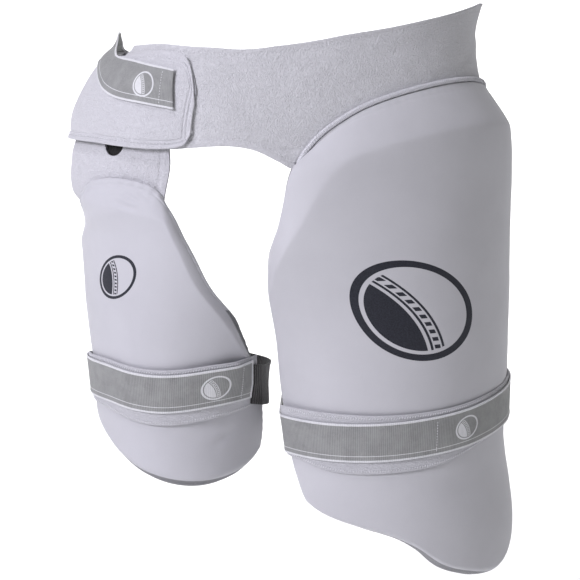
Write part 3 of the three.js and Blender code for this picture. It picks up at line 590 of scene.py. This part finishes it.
# opens the round hole and pulls the cut edge onto its circle
def cutHole(bm):
    def away(v):
        gap = v.co - holeMiddle
        return (gap - holeOut * gap.dot(holeOut)).length
    near = {v: away(v) for v in bm.verts if (v.co - holeMiddle).length < 30 * mm}
    radius = hanger["holeRadius"]
    gone = [f for f in bm.faces if all(v in near for v in f.verts)
            and sum(near[v] for v in f.verts) / len(f.verts) < radius]
    bmesh.ops.delete(bm, geom=gone, context="FACES")
    for v in bm.verts:
        if v in near and v.is_boundary and near[v] < radius * 1.4:
            gap = v.co - holeMiddle
            level = holeOut * gap.dot(holeOut)
            v.co = holeMiddle + level + (gap - level).normalized() * radius


# the hanger's rims get the dark painted shade
sheetPiece("hanger", "inner_pad_hanger", hanger, clothPlace(hangerSurface, 0.19), hangerFleece,
           cut=cutHole, rim=paintedShadeRim)

patch = {"radius": 17 * mm, "wall": 1.5 * mm, "offset": -4.0 * mm}
bm = bmesh.new()
bmesh.ops.create_circle(bm, segments=40, radius=1, cap_ends=True)
for _ in range(6):
    middleFaces = [f for f in bm.faces if len(f.verts) > 4]
    bmesh.ops.inset_region(bm, faces=middleFaces, thickness=0.155, use_even_offset=True)
for v in bm.verts:
    v.co = nearHole(patch["radius"] * v.co.x, patch["radius"] * v.co.y, patch["offset"])
hookPatch = pieceFrom(bm, "hookPatch", hookTape)
wallOf(hookPatch, patch["wall"], 0.3 * mm)
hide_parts("hook_patch")
print("hanger made")


# pads

def sides(columns, **rows):
    return {name: table(columns, *rows[name]) for name in rows}


outerPadSizes = {"top": 10 * mm, "height": 463 * mm, "edge": 4.2 * mm, "crown": 24 * mm, "inner": 3.5 * mm,
                 "columns": 168, "rows": 232}
outerPadOutline = sides("angle drop",
    top=[(6.5, 0.155), (9, 0.115), (15, 0.076), (25, 0.039), (40, 0.013), (58, 0.001),
        (76, 0.008), (92, 0.034), (106, 0.1)],
    left=[(6.5, 0.155), (-8, 0.235), (-28, 0.322), (-42, 0.402), (-52, 0.514), (-57, 0.616),
        (-54, 0.713), (-47, 0.785), (-41, 0.815)],
    bottom=[(-41, 0.815), (-29, 0.845), (-10, 0.866), (4, 0.883), (15, 0.911), (26, 0.952),
        (38, 0.976), (55, 0.996), (68, 0.985), (81, 0.942), (99, 0.825)],
    right=[(106, 0.1), (112, 0.216), (111, 0.454), (106, 0.67), (105, 0.76), (99, 0.825)])
outerPadBevel = sides("along width round",
    top=[(0, 2.1, 1.05), (0.35, 1.65, 1.05), (0.8, 1.5, 1.2), (1, 1.2, 1.6)],
    left=[(0, 4.4, 1.05), (0.12, 3.3, 1.05), (0.22, 2.5, 1.05), (0.36, 1.3, 1.3), (0.5, 0.7, 1.8), (1, 0.6, 2.2)],
    bottom=[(0, 0.55, 2.2), (1, 0.6, 2.2)],
    right=[(0, 1.1, 2), (1, 0.9, 2)])
innerPadSizes = {"top": -72 * mm, "height": 286 * mm, "edge": 3.2 * mm, "crown": 14 * mm, "inner": 0.5 * mm,
                 "columns": 140, "rows": 180}
innerPadOutline = sides("angle drop",
    top=[(-94, 0.2), (-80, 0.148), (-66, 0.084), (-57, 0.021), (-45, 0.001), (-34, 0.014),
        (-29, 0.038), (-25, 0.08)],
    left=[(-94, 0.2), (-100, 0.308), (-102, 0.552), (-96, 0.797)],
    bottom=[(-96, 0.797), (-80, 0.843), (-60, 0.878), (-42, 0.923), (-22, 0.965), (0, 0.992),
        (20, 1.0), (42, 0.988), (58, 0.965), (70, 0.937)],
    right=[(-25, 0.08), (-19, 0.147), (-7.7, 0.24), (6, 0.336), (27, 0.444), (44, 0.552),
        (62, 0.657), (75, 0.769), (78, 0.86), (70, 0.937)])
innerPadBevel = sides("along width round",
    top=[(0, 1.6, 1.2), (0.6, 2.0, 1.02), (1, 1.7, 1.02)],
    left=[(0, 0.9, 2), (1, 0.9, 2)],
    bottom=[(0, 0.9, 2.2), (1, 0.9, 2.2)],
    right=[(0, 1.45, 1.02), (0.25, 1.45, 1.02), (0.45, 1.35, 1.05), (0.62, 0.95, 1.5), (1, 0.8, 2.2)])


def alongEdge(edge, share):
    turn, fall = np.diff(edge["angle"]) / 180, np.diff(edge["drop"])
    reach = np.concatenate([[0], np.cumsum(np.hypot(turn, fall))])
    rows = dict(edge, reach=reach / reach[-1])
    return valueAt(rows, "angle", share, "reach"), valueAt(rows, "drop", share, "reach")


# angle and drop inside an outline, at shares from left to right and from the top down
def insideOutline(outline, across, down):
    top, bottom = alongEdge(outline["top"], across), alongEdge(outline["bottom"], across)
    left, right = alongEdge(outline["left"], down), alongEdge(outline["right"], down)
    blended = []
    for k, name in enumerate(("angle", "drop")):
        corners = [outline[side][name][end] for side, end in (("left", 0), ("right", 0), ("left", -1), ("right", -1))]
        blended.append((1 - down) * top[k] + down * bottom[k] + (1 - across) * left[k] + across * right[k]
                       - (1 - across) * (1 - down) * corners[0] - across * (1 - down) * corners[1]
                       - (1 - across) * down * corners[2] - across * down * corners[3])
    return blended


def makePad(form, outline, bevel, sizes):
    crown, edge = sizes["crown"], sizes["edge"]

    def slope(side, along, distance):
        width = valueAt(bevel[side], "width", along) * crown
        power = valueAt(bevel[side], "round", along)
        lean = 1 - distance / width
        return np.minimum((lean + np.sqrt(lean ** 2 + 0.004)) / 2, 1) ** power  # the ridge is a soft crease

    def place(across, down):
        angle, drop = insideOutline(outline, across, down)
        return angle, sizes["top"] - drop * sizes["height"]

    # distances in from the left, right, top and bottom edges, along the pad
    def inward(across, down):
        leftAngle, rightAngle = alongEdge(outline["left"], down)[0], alongEdge(outline["right"], down)[0]
        topDrop, bottomDrop = alongEdge(outline["top"], across)[1], alongEdge(outline["bottom"], across)[1]
        level = place(across, down)[1]
        radius = (valueAt(form, "left", level) + valueAt(form, "front", level)) / 2
        width = np.radians(rightAngle - leftAngle) * radius
        fall = (bottomDrop - topDrop) * sizes["height"]
        return across * width, (1 - across) * width, down * fall, (1 - down) * fall

    def outer(across, down):
        left, right, top, bottom = inward(across, down)
        short = np.minimum(1, np.cbrt(slope("left", down, left) ** 3 + slope("right", down, right) ** 3
                                      + slope("top", across, top) ** 3 + slope("bottom", across, bottom) ** 3))
        return sizes["inner"] + edge + (crown - edge) * (1 - short)

    return {"form": form, "sizes": sizes, "place": place, "outer": outer, "inward": inward}


outerPad = makePad(leftForm, outerPadOutline, outerPadBevel, outerPadSizes)
innerPad = makePad(rightForm, innerPadOutline, innerPadBevel, innerPadSizes)


# taut wraps that the straps follow

def hullOf(points):
    def chain(spots):
        kept = []
        for p in spots:
            while len(kept) > 1:
                a, b = kept[-2], kept[-1]
                if (b[0] - a[0]) * (p[1] - a[1]) - (b[1] - a[1]) * (p[0] - a[0]) > 0:
                    break
                kept.pop()
            kept.append(p)
        return kept[:-1]
    ordered = sorted(map(tuple, points))
    return np.array(chain(ordered) + chain(ordered[::-1]))


def reachOf(hull, middle, angles):
    dx, dy = np.sin(np.radians(angles))[:, None], -np.cos(np.radians(angles))[:, None]
    p, e = hull - middle, np.roll(hull, -1, axis=0) - hull
    cross = dx * e[:, 1] - dy * e[:, 0]
    cross = np.where(np.abs(cross) < 1e-12, 1e-12, cross)
    share = (p[:, 0] * dy - p[:, 1] * dx) / cross
    reach = (p[:, 0] * e[:, 1] - p[:, 1] * e[:, 0]) / cross
    return np.where((share > -1e-6) & (share < 1 + 1e-6), reach, 0).max(axis=1)


def tautWrap(pad, drop, span):
    level, bands = -drop, 4
    middle = np.array([float(valueAt(pad["form"], "centre", level)), 0])
    across, down = [g.ravel() for g in np.meshgrid(np.linspace(0, 1, 41), np.linspace(0, 1, 81))]
    angle, height = pad["place"](across, down)
    padPoints = onForm(pad["form"], angle, height, pad["outer"](across, down))
    step = 2 * span / bands
    angles = np.arange(-180, 181.0)
    reaches = []
    for k in range(bands + 1):
        at = level - span + k * step
        ring = padPoints[np.abs(padPoints[:, 2] - at) < step][:, :2]
        thigh = onForm(pad["form"], np.arange(0, 360, 6.0), np.full(60, at), 0)[:, :2]
        reaches.append(reachOf(hullOf(np.vstack([ring, thigh])), middle, angles))
    reaches = np.array(reaches)

    def wrap(angle, height, lift):
        turned = (angle + 180) % 360 - 180
        at = np.clip((height - level + span) / step, 0, bands - 1e-6)
        k = at.astype(int)
        column = turned + 180
        i = np.clip(column.astype(int), 0, 359)
        t = column - i
        low = reaches[k, i] * (1 - t) + reaches[k, i + 1] * t
        high = reaches[k + 1, i] * (1 - t) + reaches[k + 1, i + 1] * t
        radius = low + (high - low) * (at - k) + lift
        return np.stack([middle[0] + radius * np.sin(np.radians(turned)),
                         middle[1] - radius * np.cos(np.radians(turned)), height + 0 * radius], axis=-1)
    return wrap


straps = {"width": 36 * mm, "hookWidth": 38 * mm, "wall": 1.3 * mm, "loopWall": 1.2 * mm, "gap": 0.5 * mm,
          "strapGap": 0.8 * mm, "outerDrop": 300 * mm, "innerDrop": 262 * mm, "innerEnd": 42.0, "lap": 12.0}
outerStrapRise = table("angle rise",
    (-180, 0.19), (-120, -0.1), (-60, -0.19), (-26, -0.15), (0, -0.06), (18, 0.03), (35, 0.12),
    (50, 0.22), (65, 0.29), (90, 0.36), (130, 0.34), (180, 0.19))
innerStrapRise = table("angle rise",
    (-180, -0.5), (-130, -0.4), (-90, -0.18), (-60, -0.04), (-40, 0.01), (-21, -0.07),
    (-5, -0.08), (20, 0.05), (44, 0.12))
hookStrapRise = table("angle rise bow",
    (42, -0.03, 0), (60, -0.24, 0.07), (90, -0.44, 0.15), (130, -0.55, 0.05), (180, -0.5, 0),
    (200, -0.47, 0))
outerLoopRows = table("angle above below",
    (-48, 0.24, 0.06), (-38, 0.26, 0.12), (-20, 0.24, 0.3), (0, 0.18, 0.33), (24, 0.13, 0.3),
    (45, 0.12, 0.1), (84, 0.1, 0.06))
innerLoopRows = table("angle above below",
    (-78, 0.08, 0.14), (-50, 0.11, 0.2), (-30, 0.12, 0.3), (0, 0.12, 0.34), (30, 0.11, 0.32),
    (48, 0.05, 0.26))


# where a strap runs; shift is the turn between the pad's angles and the strap's
def routeOf(pad, rise, drop, shift):
    return {"rise": rise, "drop": drop, "shift": shift, "wrap": tautWrap(pad, drop, straps["width"] * 1.2)}


outerRoute = routeOf(outerPad, outerStrapRise, straps["outerDrop"], 22)
innerRoute = routeOf(innerPad, innerStrapRise, straps["innerDrop"], 0)
hookRoute = dict(innerRoute, rise=hookStrapRise)
strapLift = straps["gap"] + straps["loopWall"] + straps["strapGap"]


def strapMiddle(route, angle):
    return valueAt(route["rise"], "rise", angle) * straps["width"] - route["drop"]


# how far a spot of a pad is from its strap's middle, in half widths of the strap
def fromStrap(route, angle, height):
    return np.abs(height - strapMiddle(route, angle - route["shift"])) / (straps["width"] / 2)


# how a cover bulges: a coarse sheet, held at its edges and under its strap, is blown up a little, and the pad's
# surface takes over how far each spot of the sheet moved
swellSheet = {"columns": 42, "rows": 58, "pressure": 4.0, "frames": 20, "most": 1.7 * mm, "quality": 6, "mass": 0.3,
              "stretch": 18, "shear": 6, "bend": 0.6, "heldRim": 7 * mm, "heldStrap": 1.7}


def swellOf(pad, route):
    kept = {}

    def place(across, down):
        angle, height = pad["place"](across, down)
        edge = np.min(pad["inward"](across, down), axis=0)
        held = (edge < swellSheet["heldRim"]) | (fromStrap(route, angle, height) < swellSheet["heldStrap"])
        kept.update(across=across.round(4), down=down.round(4), held=held)
        return onForm(pad["form"], angle, height, pad["outer"](across, down)), np.stack([across, down], axis=-1)

    bm = bmesh.new()
    bendGrid(bm, swellSheet["columns"], swellSheet["rows"], place)
    scene, mesh = bpy.context.scene, meshFrom(bm, "swellSheet")
    sheet = placed("swellSheet", mesh)
    pins = sheet.vertex_groups.new(name="pins")
    pins.add([int(k) for k in np.flatnonzero(kept["held"])], 1.0, "REPLACE")
    cloth = sheet.modifiers.new("cloth", "CLOTH")
    cloth.point_cache.frame_start, cloth.point_cache.frame_end = 1, swellSheet["frames"]
    blown = cloth.settings
    blown.vertex_group_mass = "pins"
    blown.quality, blown.mass = swellSheet["quality"], swellSheet["mass"]
    blown.tension_stiffness = blown.compression_stiffness = swellSheet["stretch"]
    blown.shear_stiffness, blown.bending_stiffness = swellSheet["shear"], swellSheet["bend"]
    blown.use_pressure, blown.uniform_pressure_force = True, swellSheet["pressure"]
    blown.effector_weights.gravity = 0
    for frame in range(1, swellSheet["frames"] + 1):
        scene.frame_set(frame)
    after = sheet.evaluated_get(bpy.context.evaluated_depsgraph_get()).data
    moved = np.array([v.co[:] for v in after.vertices]) - np.array([v.co[:] for v in mesh.vertices])
    scene.frame_set(1)
    bpy.data.objects.remove(sheet)
    bpy.data.meshes.remove(mesh)
    far = np.linalg.norm(moved, axis=1)[:, None]
    print("cover blown up by", round(far.mean() / mm, 2), "mm on the mean,", round(far.max() / mm, 2), "mm at most")
    moved *= swellSheet["most"] / (swellSheet["most"] + far)
    order = np.lexsort((kept["across"], kept["down"]))
    steps = moved[order].reshape(-1, len(set(kept["across"])), 3)

    def swell(across, down):
        x, y = across * (steps.shape[1] - 1), down * (steps.shape[0] - 1)
        x0, y0 = np.minimum(x.astype(int), steps.shape[1] - 2), np.minimum(y.astype(int), steps.shape[0] - 2)
        u, v = (x - x0)[:, None], (y - y0)[:, None]
        u, v = u * u * (3 - 2 * u), v * v * (3 - 2 * v)
        upper = steps[y0, x0] * (1 - u) + steps[y0, x0 + 1] * u
        lower = steps[y0 + 1, x0] * (1 - u) + steps[y0 + 1, x0 + 1] * u
        return upper * (1 - v) + lower * v
    return swell


# the dark band low down on each pad is painted shade: it starts at this share of the height and is this many rows of
# faces wide
padBuild = {"ease": 0.5, "paintedShadeFrom": 0.45, "paintedShadeRows": 8, "rimRound": 1.7 * mm, "fill": 0.85}


def padPiece(name, node, pad, material, detail, swell):
    sizes = pad["sizes"]

    def side(offsetOf, moved=None):
        def place(across, down):
            across, down = eased(across, padBuild["ease"]), eased(down, padBuild["ease"])
            angle, height = pad["place"](across, down)
            points = onForm(pad["form"], angle, height, offsetOf(across, down, angle, height))
            radius = valueAt(pad["form"], "front", height)
            if moved:
                points = points + moved(across, down)
            return points, np.stack([np.radians(angle) * radius, height], axis=-1)
        return place

    def front(across, down, angle, height):
        return pad["outer"](across, down) + detail(across, down, angle, height)

    def back(across, down, angle, height):
        return np.full(angle.shape, sizes["inner"])

    def facesOf(verts):
        return {f for v in verts for f in v.link_faces}

    bm = bmesh.new()
    bendGrid(bm, sizes["columns"], sizes["rows"], side(front, swell))
    frontEdges = [e for e in bm.edges if e.is_boundary]
    # painted shade: a dark band, some rows of faces wide, along the front's edges in the lower part of the pad
    paintedShadeTop = sizes["top"] - sizes["height"] * padBuild["paintedShadeFrom"]
    low = {v for e in frontEdges for v in e.verts if v.co.z < paintedShadeTop}
    for _ in range(padBuild["paintedShadeRows"]):
        low |= {v for f in facesOf(low) for v in f.verts}
    dark = {f for f in facesOf(low) if all(v in low for v in f.verts)}
    backFaces = facesOf(bendGrid(bm, sizes["columns"], sizes["rows"], side(back)))
    bmesh.ops.reverse_faces(bm, faces=list(backFaces))
    for face in dark | backFaces:
        face.material_index = 1
    rimEdges = [e for e in bm.edges if e.is_boundary]
    # the side walls low down take the same dark painted shade
    for face in bmesh.ops.bridge_loops(bm, edges=rimEdges)["faces"]:
        face.material_index = int(face.calc_center_median().z < paintedShadeTop)
    rim = frontEdges + [e for e in rimEdges if e not in set(frontEdges)]
    turned = bmesh.ops.bevel(bm, geom=rim, offset=padBuild["rimRound"], offset_type="OFFSET", affect="EDGES",
                             segments=3, profile=0.5, material=-1, clamp_overlap=True)["faces"]
    # the turned edges low down are painted shade as well
    for face in turned:
        if face.calc_center_median().z < paintedShadeTop:
            face.material_index = 1
    piece = pieceFrom(bm, name, material)
    piece.data.materials.append(liningAndPaintedShade)
    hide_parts(node)


# short puckers along an edge: they fade away from it
def puckers(alongRun, fromEdge, pitch, reach, depth, seed):
    wave = np.sin(alongRun * 2 * np.pi / pitch + 1.6 * ripple(alongRun, 0 * alongRun, pitch * 5, seed))
    strong = 0.5 + 0.5 * ripple(alongRun, 0 * alongRun, pitch * 9, seed + 1)
    return depth * wave * strong * np.exp(-fromEdge / reach)


# fine forms of each pad: waves by depth, size and seed; seams by distance in, width and depth; puckers by side, pitch,
# reach, depth and seed; folds by across and height of both ends, width and depth, in millimetres
outerLook = {
    "arm": 130, "waves": [(0.9, 160, 11), (0.3, 50, 12)], "calm": 20, "seams": [(5.5, 1.1, -0.3)],
    "puckers": [("top", 6.5, 6, 0.5, 2), ("left", 8, 5, 0.25, 5)], "press": 0.5,
    "folds": [(-6, -62, 24, -28, 4.0, -0.7), (-60, -300, -20, -312, 5.0, -0.6)]}
innerLook = {
    "arm": 85, "waves": [(0.6, 100, 21), (0.25, 35, 22)], "calm": 15,
    "seams": [(2.2, 1.1, 0.5), (4.8, 1.1, -0.7)],
    "puckers": [("top", 5.5, 6, 0.8, 3), ("right", 8, 8, 0.9, 6)], "press": 0.4,
    "folds": [(-66, -90, -50, -98, 2.2, -1.1), (-60, -84, -47, -92, 1.6, -0.8), (-54, -80, -44, -90, 1.5, -0.7),
              (20, -178, 48, -200, 2.0, -1.2), (28, -192, 58, -220, 2.5, -1.8), (36, -202, 62, -236, 2.0, -1.5),
              (36, -318, 60, -304, 4.0, -1.2)]}


def detailOf(pad, route, look):
    def detail(across, down, angle, height):
        run = np.radians(angle) * look["arm"] * mm
        inward = dict(zip(("left", "right", "top", "bottom"), pad["inward"](across, down)))
        edge = np.min(list(inward.values()), axis=0)
        soft = sum(depth * mm * ripple(run, height, size * mm, seed) for depth, size, seed in look["waves"])
        seams = sum(depth * mm * peak(edge, at * mm, width * mm) for at, width, depth in look["seams"])
        pulled = sum(puckers(run if side == "top" else height, inward[side], pitch * mm, reach * mm, depth * mm, seed)
                     for side, pitch, reach, depth, seed in look["puckers"])
        folds = sum(foldLine(run, height, tuple(v * mm for v in line)) for line in look["folds"])
        # the strap presses the foam in, with a slight swell above and below it
        off, depth = fromStrap(route, angle, height), look["press"] * mm
        press = 0.45 * depth * peak(off, 1.75, 0.3) - depth * np.clip(1.25 - off, 0, 0.25) / 0.25
        return (soft * np.clip(edge / (look["calm"] * mm), 0, 1) + seams + pulled + folds
                + press * np.clip(edge / (12 * mm), 0, 1))
    return detail


outerCover = coverMaterial("outerCover", (0.60, 0.597, 0.62), (0.56, 0.557, 0.58), (0.036, -0.183), 46 * mm)
innerCover = coverMaterial("innerCover", (0.60, 0.597, 0.625), (0.56, 0.557, 0.585), (-0.077, -0.161), 21 * mm)
# dark fleece for the pads' backs, also used as the painted shade on their lower edges
liningAndPaintedShade = fleeceMaterial("liningAndPaintedShade", (0.16, 0.16, 0.17), (0.26, 0.26, 0.27), 0.6)
padPiece("outerPad", "outer_thigh_pad", outerPad, outerCover, detailOf(outerPad, outerRoute, outerLook),
         swellOf(outerPad, outerRoute))
padPiece("innerPad", "inner_thigh_pad", innerPad, innerCover, detailOf(innerPad, innerRoute, innerLook),
         swellOf(innerPad, innerRoute))
print("pads made")


# straps and the loop cloth under them

def strapSurface(route, width, start, end, lift):
    def surface(across, down):
        angle = start + (end - start) * across
        height = strapMiddle(route, angle) + width * (0.5 - down)
        return route["wrap"](angle, height, lift(angle, down) + straps["wall"])
    return surface


def beadLift(angle, down):
    return strapLift + 0.3 * mm * (np.abs(down - 0.5) > 0.42)


def hookLift(angle, down):
    lap = np.clip((angle - 150) / 20, 0, 1)
    bow = valueAt(hookStrapRise, "bow", angle) * straps["width"]
    return strapLift + bow + lap * (straps["wall"] + straps["gap"])


def loopSurface(route, rows):
    def surface(across, down):
        angle = angleAlong(rows, across)
        middle = strapMiddle(route, angle)
        top = middle + (0.5 + valueAt(rows, "above", angle)) * straps["width"]
        bottom = middle - (0.5 + valueAt(rows, "below", angle)) * straps["width"]
        return route["wrap"](angle, top + (bottom - top) * down, straps["gap"] + straps["loopWall"])
    return surface


outerStrapSurface = strapSurface(outerRoute, straps["width"], -180, 180, beadLift)
innerStrapSurface = strapSurface(innerRoute, straps["width"], -180, straps["innerEnd"], beadLift)
hookStrapSurface = strapSurface(hookRoute, straps["hookWidth"], straps["innerEnd"] + 0.4, 180 + straps["lap"], hookLift)
outerLoopSurface = loopSurface(outerRoute, outerLoopRows)
innerLoopSurface = loopSurface(innerRoute, innerLoopRows)
outerElastic = elasticMaterial("outerElastic", 18 * mm, -12.3 * mm, (0.395, 0.5 * mm), 11 * mm)
innerElastic = elasticMaterial("innerElastic", 18 * mm, -12.3 * mm, (0.297, 0.5 * mm), 11.5 * mm, 0.33)
strapSpec = {"columns": 420, "rows": 24, "wall": straps["wall"], "round": 0.3 * mm}
loopSpec = {"columns": 160, "rows": 20, "wall": straps["loopWall"], "round": 0.3 * mm}
sheetPiece("outerStrap", "outer_thigh_strap", strapSpec, clothPlace(outerStrapSurface, 0.66, straps["width"]),
           outerElastic, ring=True)
sheetPiece("innerStrap", "inner_thigh_strap", dict(strapSpec, columns=300),
           clothPlace(innerStrapSurface, 0.33, straps["width"]), innerElastic)
sheetPiece("hookStrap", "inner_hook_strap", dict(strapSpec, columns=200),
           clothPlace(hookStrapSurface, 0.21, straps["hookWidth"]), hookTape)
sheetPiece("outerLoop", "outer_loop_strip", loopSpec, clothPlace(outerLoopSurface, 0.26), loopNap)
sheetPiece("innerLoop", "inner_loop_strip", loopSpec, clothPlace(innerLoopSurface, 0.2), loopNap)
print("straps made")


# piping along the outer pad's top edge

piping = {"radius": 2.2 * mm, "gap": 0.5 * mm, "lift": 3.5 * mm, "stations": 150, "columns": 330, "sides": 12,
          "lump": 0.06, "lumpPitch": 3.2 * mm}


def pipingPath(stations):
    angle, height = outerPad["place"](stations, 0 * stations)
    arc = body["hipHalfWidth"] * math.radians(1)
    along, up = np.gradient(angle) * arc, np.gradient(height)
    long, shift = np.hypot(along, up), piping["radius"] + piping["gap"]
    return onForm(leftForm, angle - up / long * shift / arc, height + along / long * shift,
                  piping["lift"] + piping["radius"])


pipingPoints = pipingPath(np.linspace(0, 1, piping["stations"]))
pipingRun = clothRun(pipingPoints)


def pipingMiddle(share):
    return np.stack([np.interp(share * pipingRun[-1], pipingRun, pipingPoints[:, k]) for k in range(3)], axis=-1)


def pipingSurface(across, down):
    step = 0.004
    along = unit(pipingMiddle(across + step) - pipingMiddle(across - step))
    out = unit(np.cross(along, np.array([0, 0, 1.0])))
    up = np.cross(out, along)
    turn = -down * 2 * np.pi
    lump = 1 + piping["lump"] * np.sin(across * pipingRun[-1] * 2 * np.pi / piping["lumpPitch"])
    radius = piping["radius"] * lump * np.clip(np.sqrt(np.minimum(across, 1 - across) * 90), 0.25, 1)
    return pipingMiddle(across) + (out * np.cos(turn)[:, None] + up * np.sin(turn)[:, None]) * radius[:, None]


def pipingPlace(across, down):
    return pipingSurface(across, down), np.stack([across * pipingRun[-1], down * 0.014], axis=-1)


bm = bmesh.new()
bendGrid(bm, piping["columns"], piping["sides"], pipingPlace)
bmesh.ops.remove_doubles(bm, verts=bm.verts, dist=0.02 * mm)
bmesh.ops.holes_fill(bm, edges=[e for e in bm.edges if e.is_boundary], sides=0)
bmesh.ops.recalc_face_normals(bm, faces=bm.faces)
outerPiping = pieceFrom(bm, "outerPiping", whiteCord)
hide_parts("outer_pad_piping")


# stitching

# rows of stitches: surface, across from and to, down from and to, spots along the way, then in millimetres the pitch
# and each stitch's length and thickness, and its lean
stitching = {
    "hemStitches": ("belt_fleece", [
        (beltSurface, 0.02, 0.99, 0.93, 0.93, 900, 3.6, 2.5, 0.75, 0),
        (beltSurface, 0.02, 0.99, 0.055, 0.055, 900, 3.6, 2.5, 0.75, 0),
        (flapSurface, 0.3, 0.96, 0.06, 0.06, 300, 3.4, 2.4, 0.75, 0),
        (flapSurface, 0.3, 0.96, 0.94, 0.94, 300, 3.4, 2.4, 0.75, 0),
        (hangerSurface, 0.955, 0.955, 0.05, 0.97, 300, 3.4, 2.4, 0.75, 0)]),
    "strapStitches": ("grey_elastic", [
        (outerStrapSurface, 0.558, 0.558, 0.12, 0.9, 40, 2.6, 1.9, 0.7, 0),
        (innerStrapSurface, 0.965, 0.965, 0.08, 0.92, 40, 2.2, 1.7, 0.7, 0),
        (hipStrapSurface, 0.965, 0.965, 0.1, 0.9, 40, 2.4, 1.8, 0.7, 0)]),
    "loopStitches": ("loop_cloth", [
        (surface, 0.04, 0.96, down, down, 300, 2.4, 2.8, 0.85, 1.1)
        for surface in (outerLoopSurface, innerLoopSurface) for down in (0.05, 0.95)]),
    "pipingStitches": ("edge_piping", [
        (pipingSurface, 0.01, 0.99, down, down, 500, 2.7, 4.2, 0.7, 0.9) for down in (0.06, 0.9)]),
}
for name, (slot, rows) in stitching.items():
    bm = bmesh.new()
    for surface, a0, a1, d0, d1, count, pitch, long, thick, skew in rows:
        share = np.linspace(0, 1, count)
        spots = stitchSpots(surface, a0 + (a1 - a0) * share, d0 + (d1 - d0) * share, pitch * mm, skew)
        sewStitches(bm, spots, long * mm, thick * mm)
    stitches = pieceFrom(bm, name, whiteThread)
    print(name, len(stitches.data.polygons), "faces")
print("stitching made")


# floor, light and camera

studio = {"floorDrop": 0.78, "wallAway": 3.2, "wallHigh": 7, "half": 9.0, "bend": 1.6, "bendSteps": 12}
bm = bmesh.new()
bmesh.ops.create_grid(bm, x_segments=2, y_segments=2, size=studio["half"])
bmesh.ops.bisect_plane(bm, geom=list(bm.verts) + list(bm.edges) + list(bm.faces),
                       plane_co=(0, studio["wallAway"], 0), plane_no=(0, 1, 0), clear_outer=True)
backEdge = [e for e in bm.edges if all(abs(v.co.y - studio["wallAway"]) < 1e-4 for v in e.verts)]


def drawnOut(edges, vec):
    moved = bmesh.ops.extrude_edge_only(bm, edges=edges)["geom"]
    bmesh.ops.translate(bm, vec=vec, verts=[g for g in moved if isinstance(g, bmesh.types.BMVert)])
    return [g for g in moved if isinstance(g, bmesh.types.BMEdge)]


for step in range(studio["bendSteps"]):
    turn = (step + 0.5) / studio["bendSteps"] * math.pi / 2
    long = studio["bend"] * math.pi / 2 / studio["bendSteps"]
    backEdge = drawnOut(backEdge, (0, long * math.cos(turn), long * math.sin(turn)))
drawnOut(backEdge, (0, 0, studio["wallHigh"]))
bmesh.ops.translate(bm, vec=(0, 0, -studio["floorDrop"]), verts=bm.verts)
bmesh.ops.recalc_face_normals(bm, faces=bm.faces)
floor = placed("floor", meshFrom(bm, "floor"))
floor.data.shade_smooth()
paper = bpy.data.materials.new("paper")
paper.use_nodes = True
setInputs(paper.node_tree.nodes["Principled BSDF"], {
    "Base Color": (0.92, 0.92, 0.92, 1), "Roughness": 0.9, "Emission Color": (1, 1, 1, 1), "Emission Strength": 0.15})
floor.data.materials.append(paper)

world = bpy.data.worlds.new("softRoom")
bpy.context.scene.world = world
world.use_nodes = True
setInputs(world.node_tree.nodes["Background"], {"Color": (0.95, 0.945, 1, 1), "Strength": 0.2})

lamps = {
    "keyWindow": {"at": (-1.56, -1.58, 0.99), "size": 0.7, "power": 39, "tint": (0.91, 0.896, 1)},
    "topWindow": {"at": (-1.06, -0.63, 2.02), "size": 0.7, "power": 15, "tint": (0.91, 0.896, 1)},
    "sideWindow": {"at": (1.68, -0.96, 1.46), "size": 0.8, "power": 5, "tint": (1, 1, 0.98)},
    "backdropGlow": {"at": (0, 2.2, 2.4), "size": 2.5, "power": 170, "tint": (1, 1, 1), "aim": (0, 4.6, 0.6)},
}
for name, lamp in lamps.items():
    light = bpy.data.lights.new(name, "AREA")
    light.energy, light.size, light.color = lamp["power"], lamp["size"], lamp["tint"]
    holder = placed(name, light)
    holder.location = lamp["at"]
    aim = Vector(lamp.get("aim", (0.02, 0, -0.15))) - Vector(lamp["at"])
    holder.rotation_euler = aim.to_track_quat("-Z", "Y").to_euler()

lens = bpy.data.cameras.new("camera")
lens.lens, lens.sensor_width = 100, 36
camera = placed("camera", lens)
camera.location = (0.013, -1.5, 0.104)
camera.rotation_euler = (math.radians(78.9), 0, 0)
bpy.context.scene.camera = camera
bpy.context.scene.view_settings.view_transform = "Standard"
print("studio made")
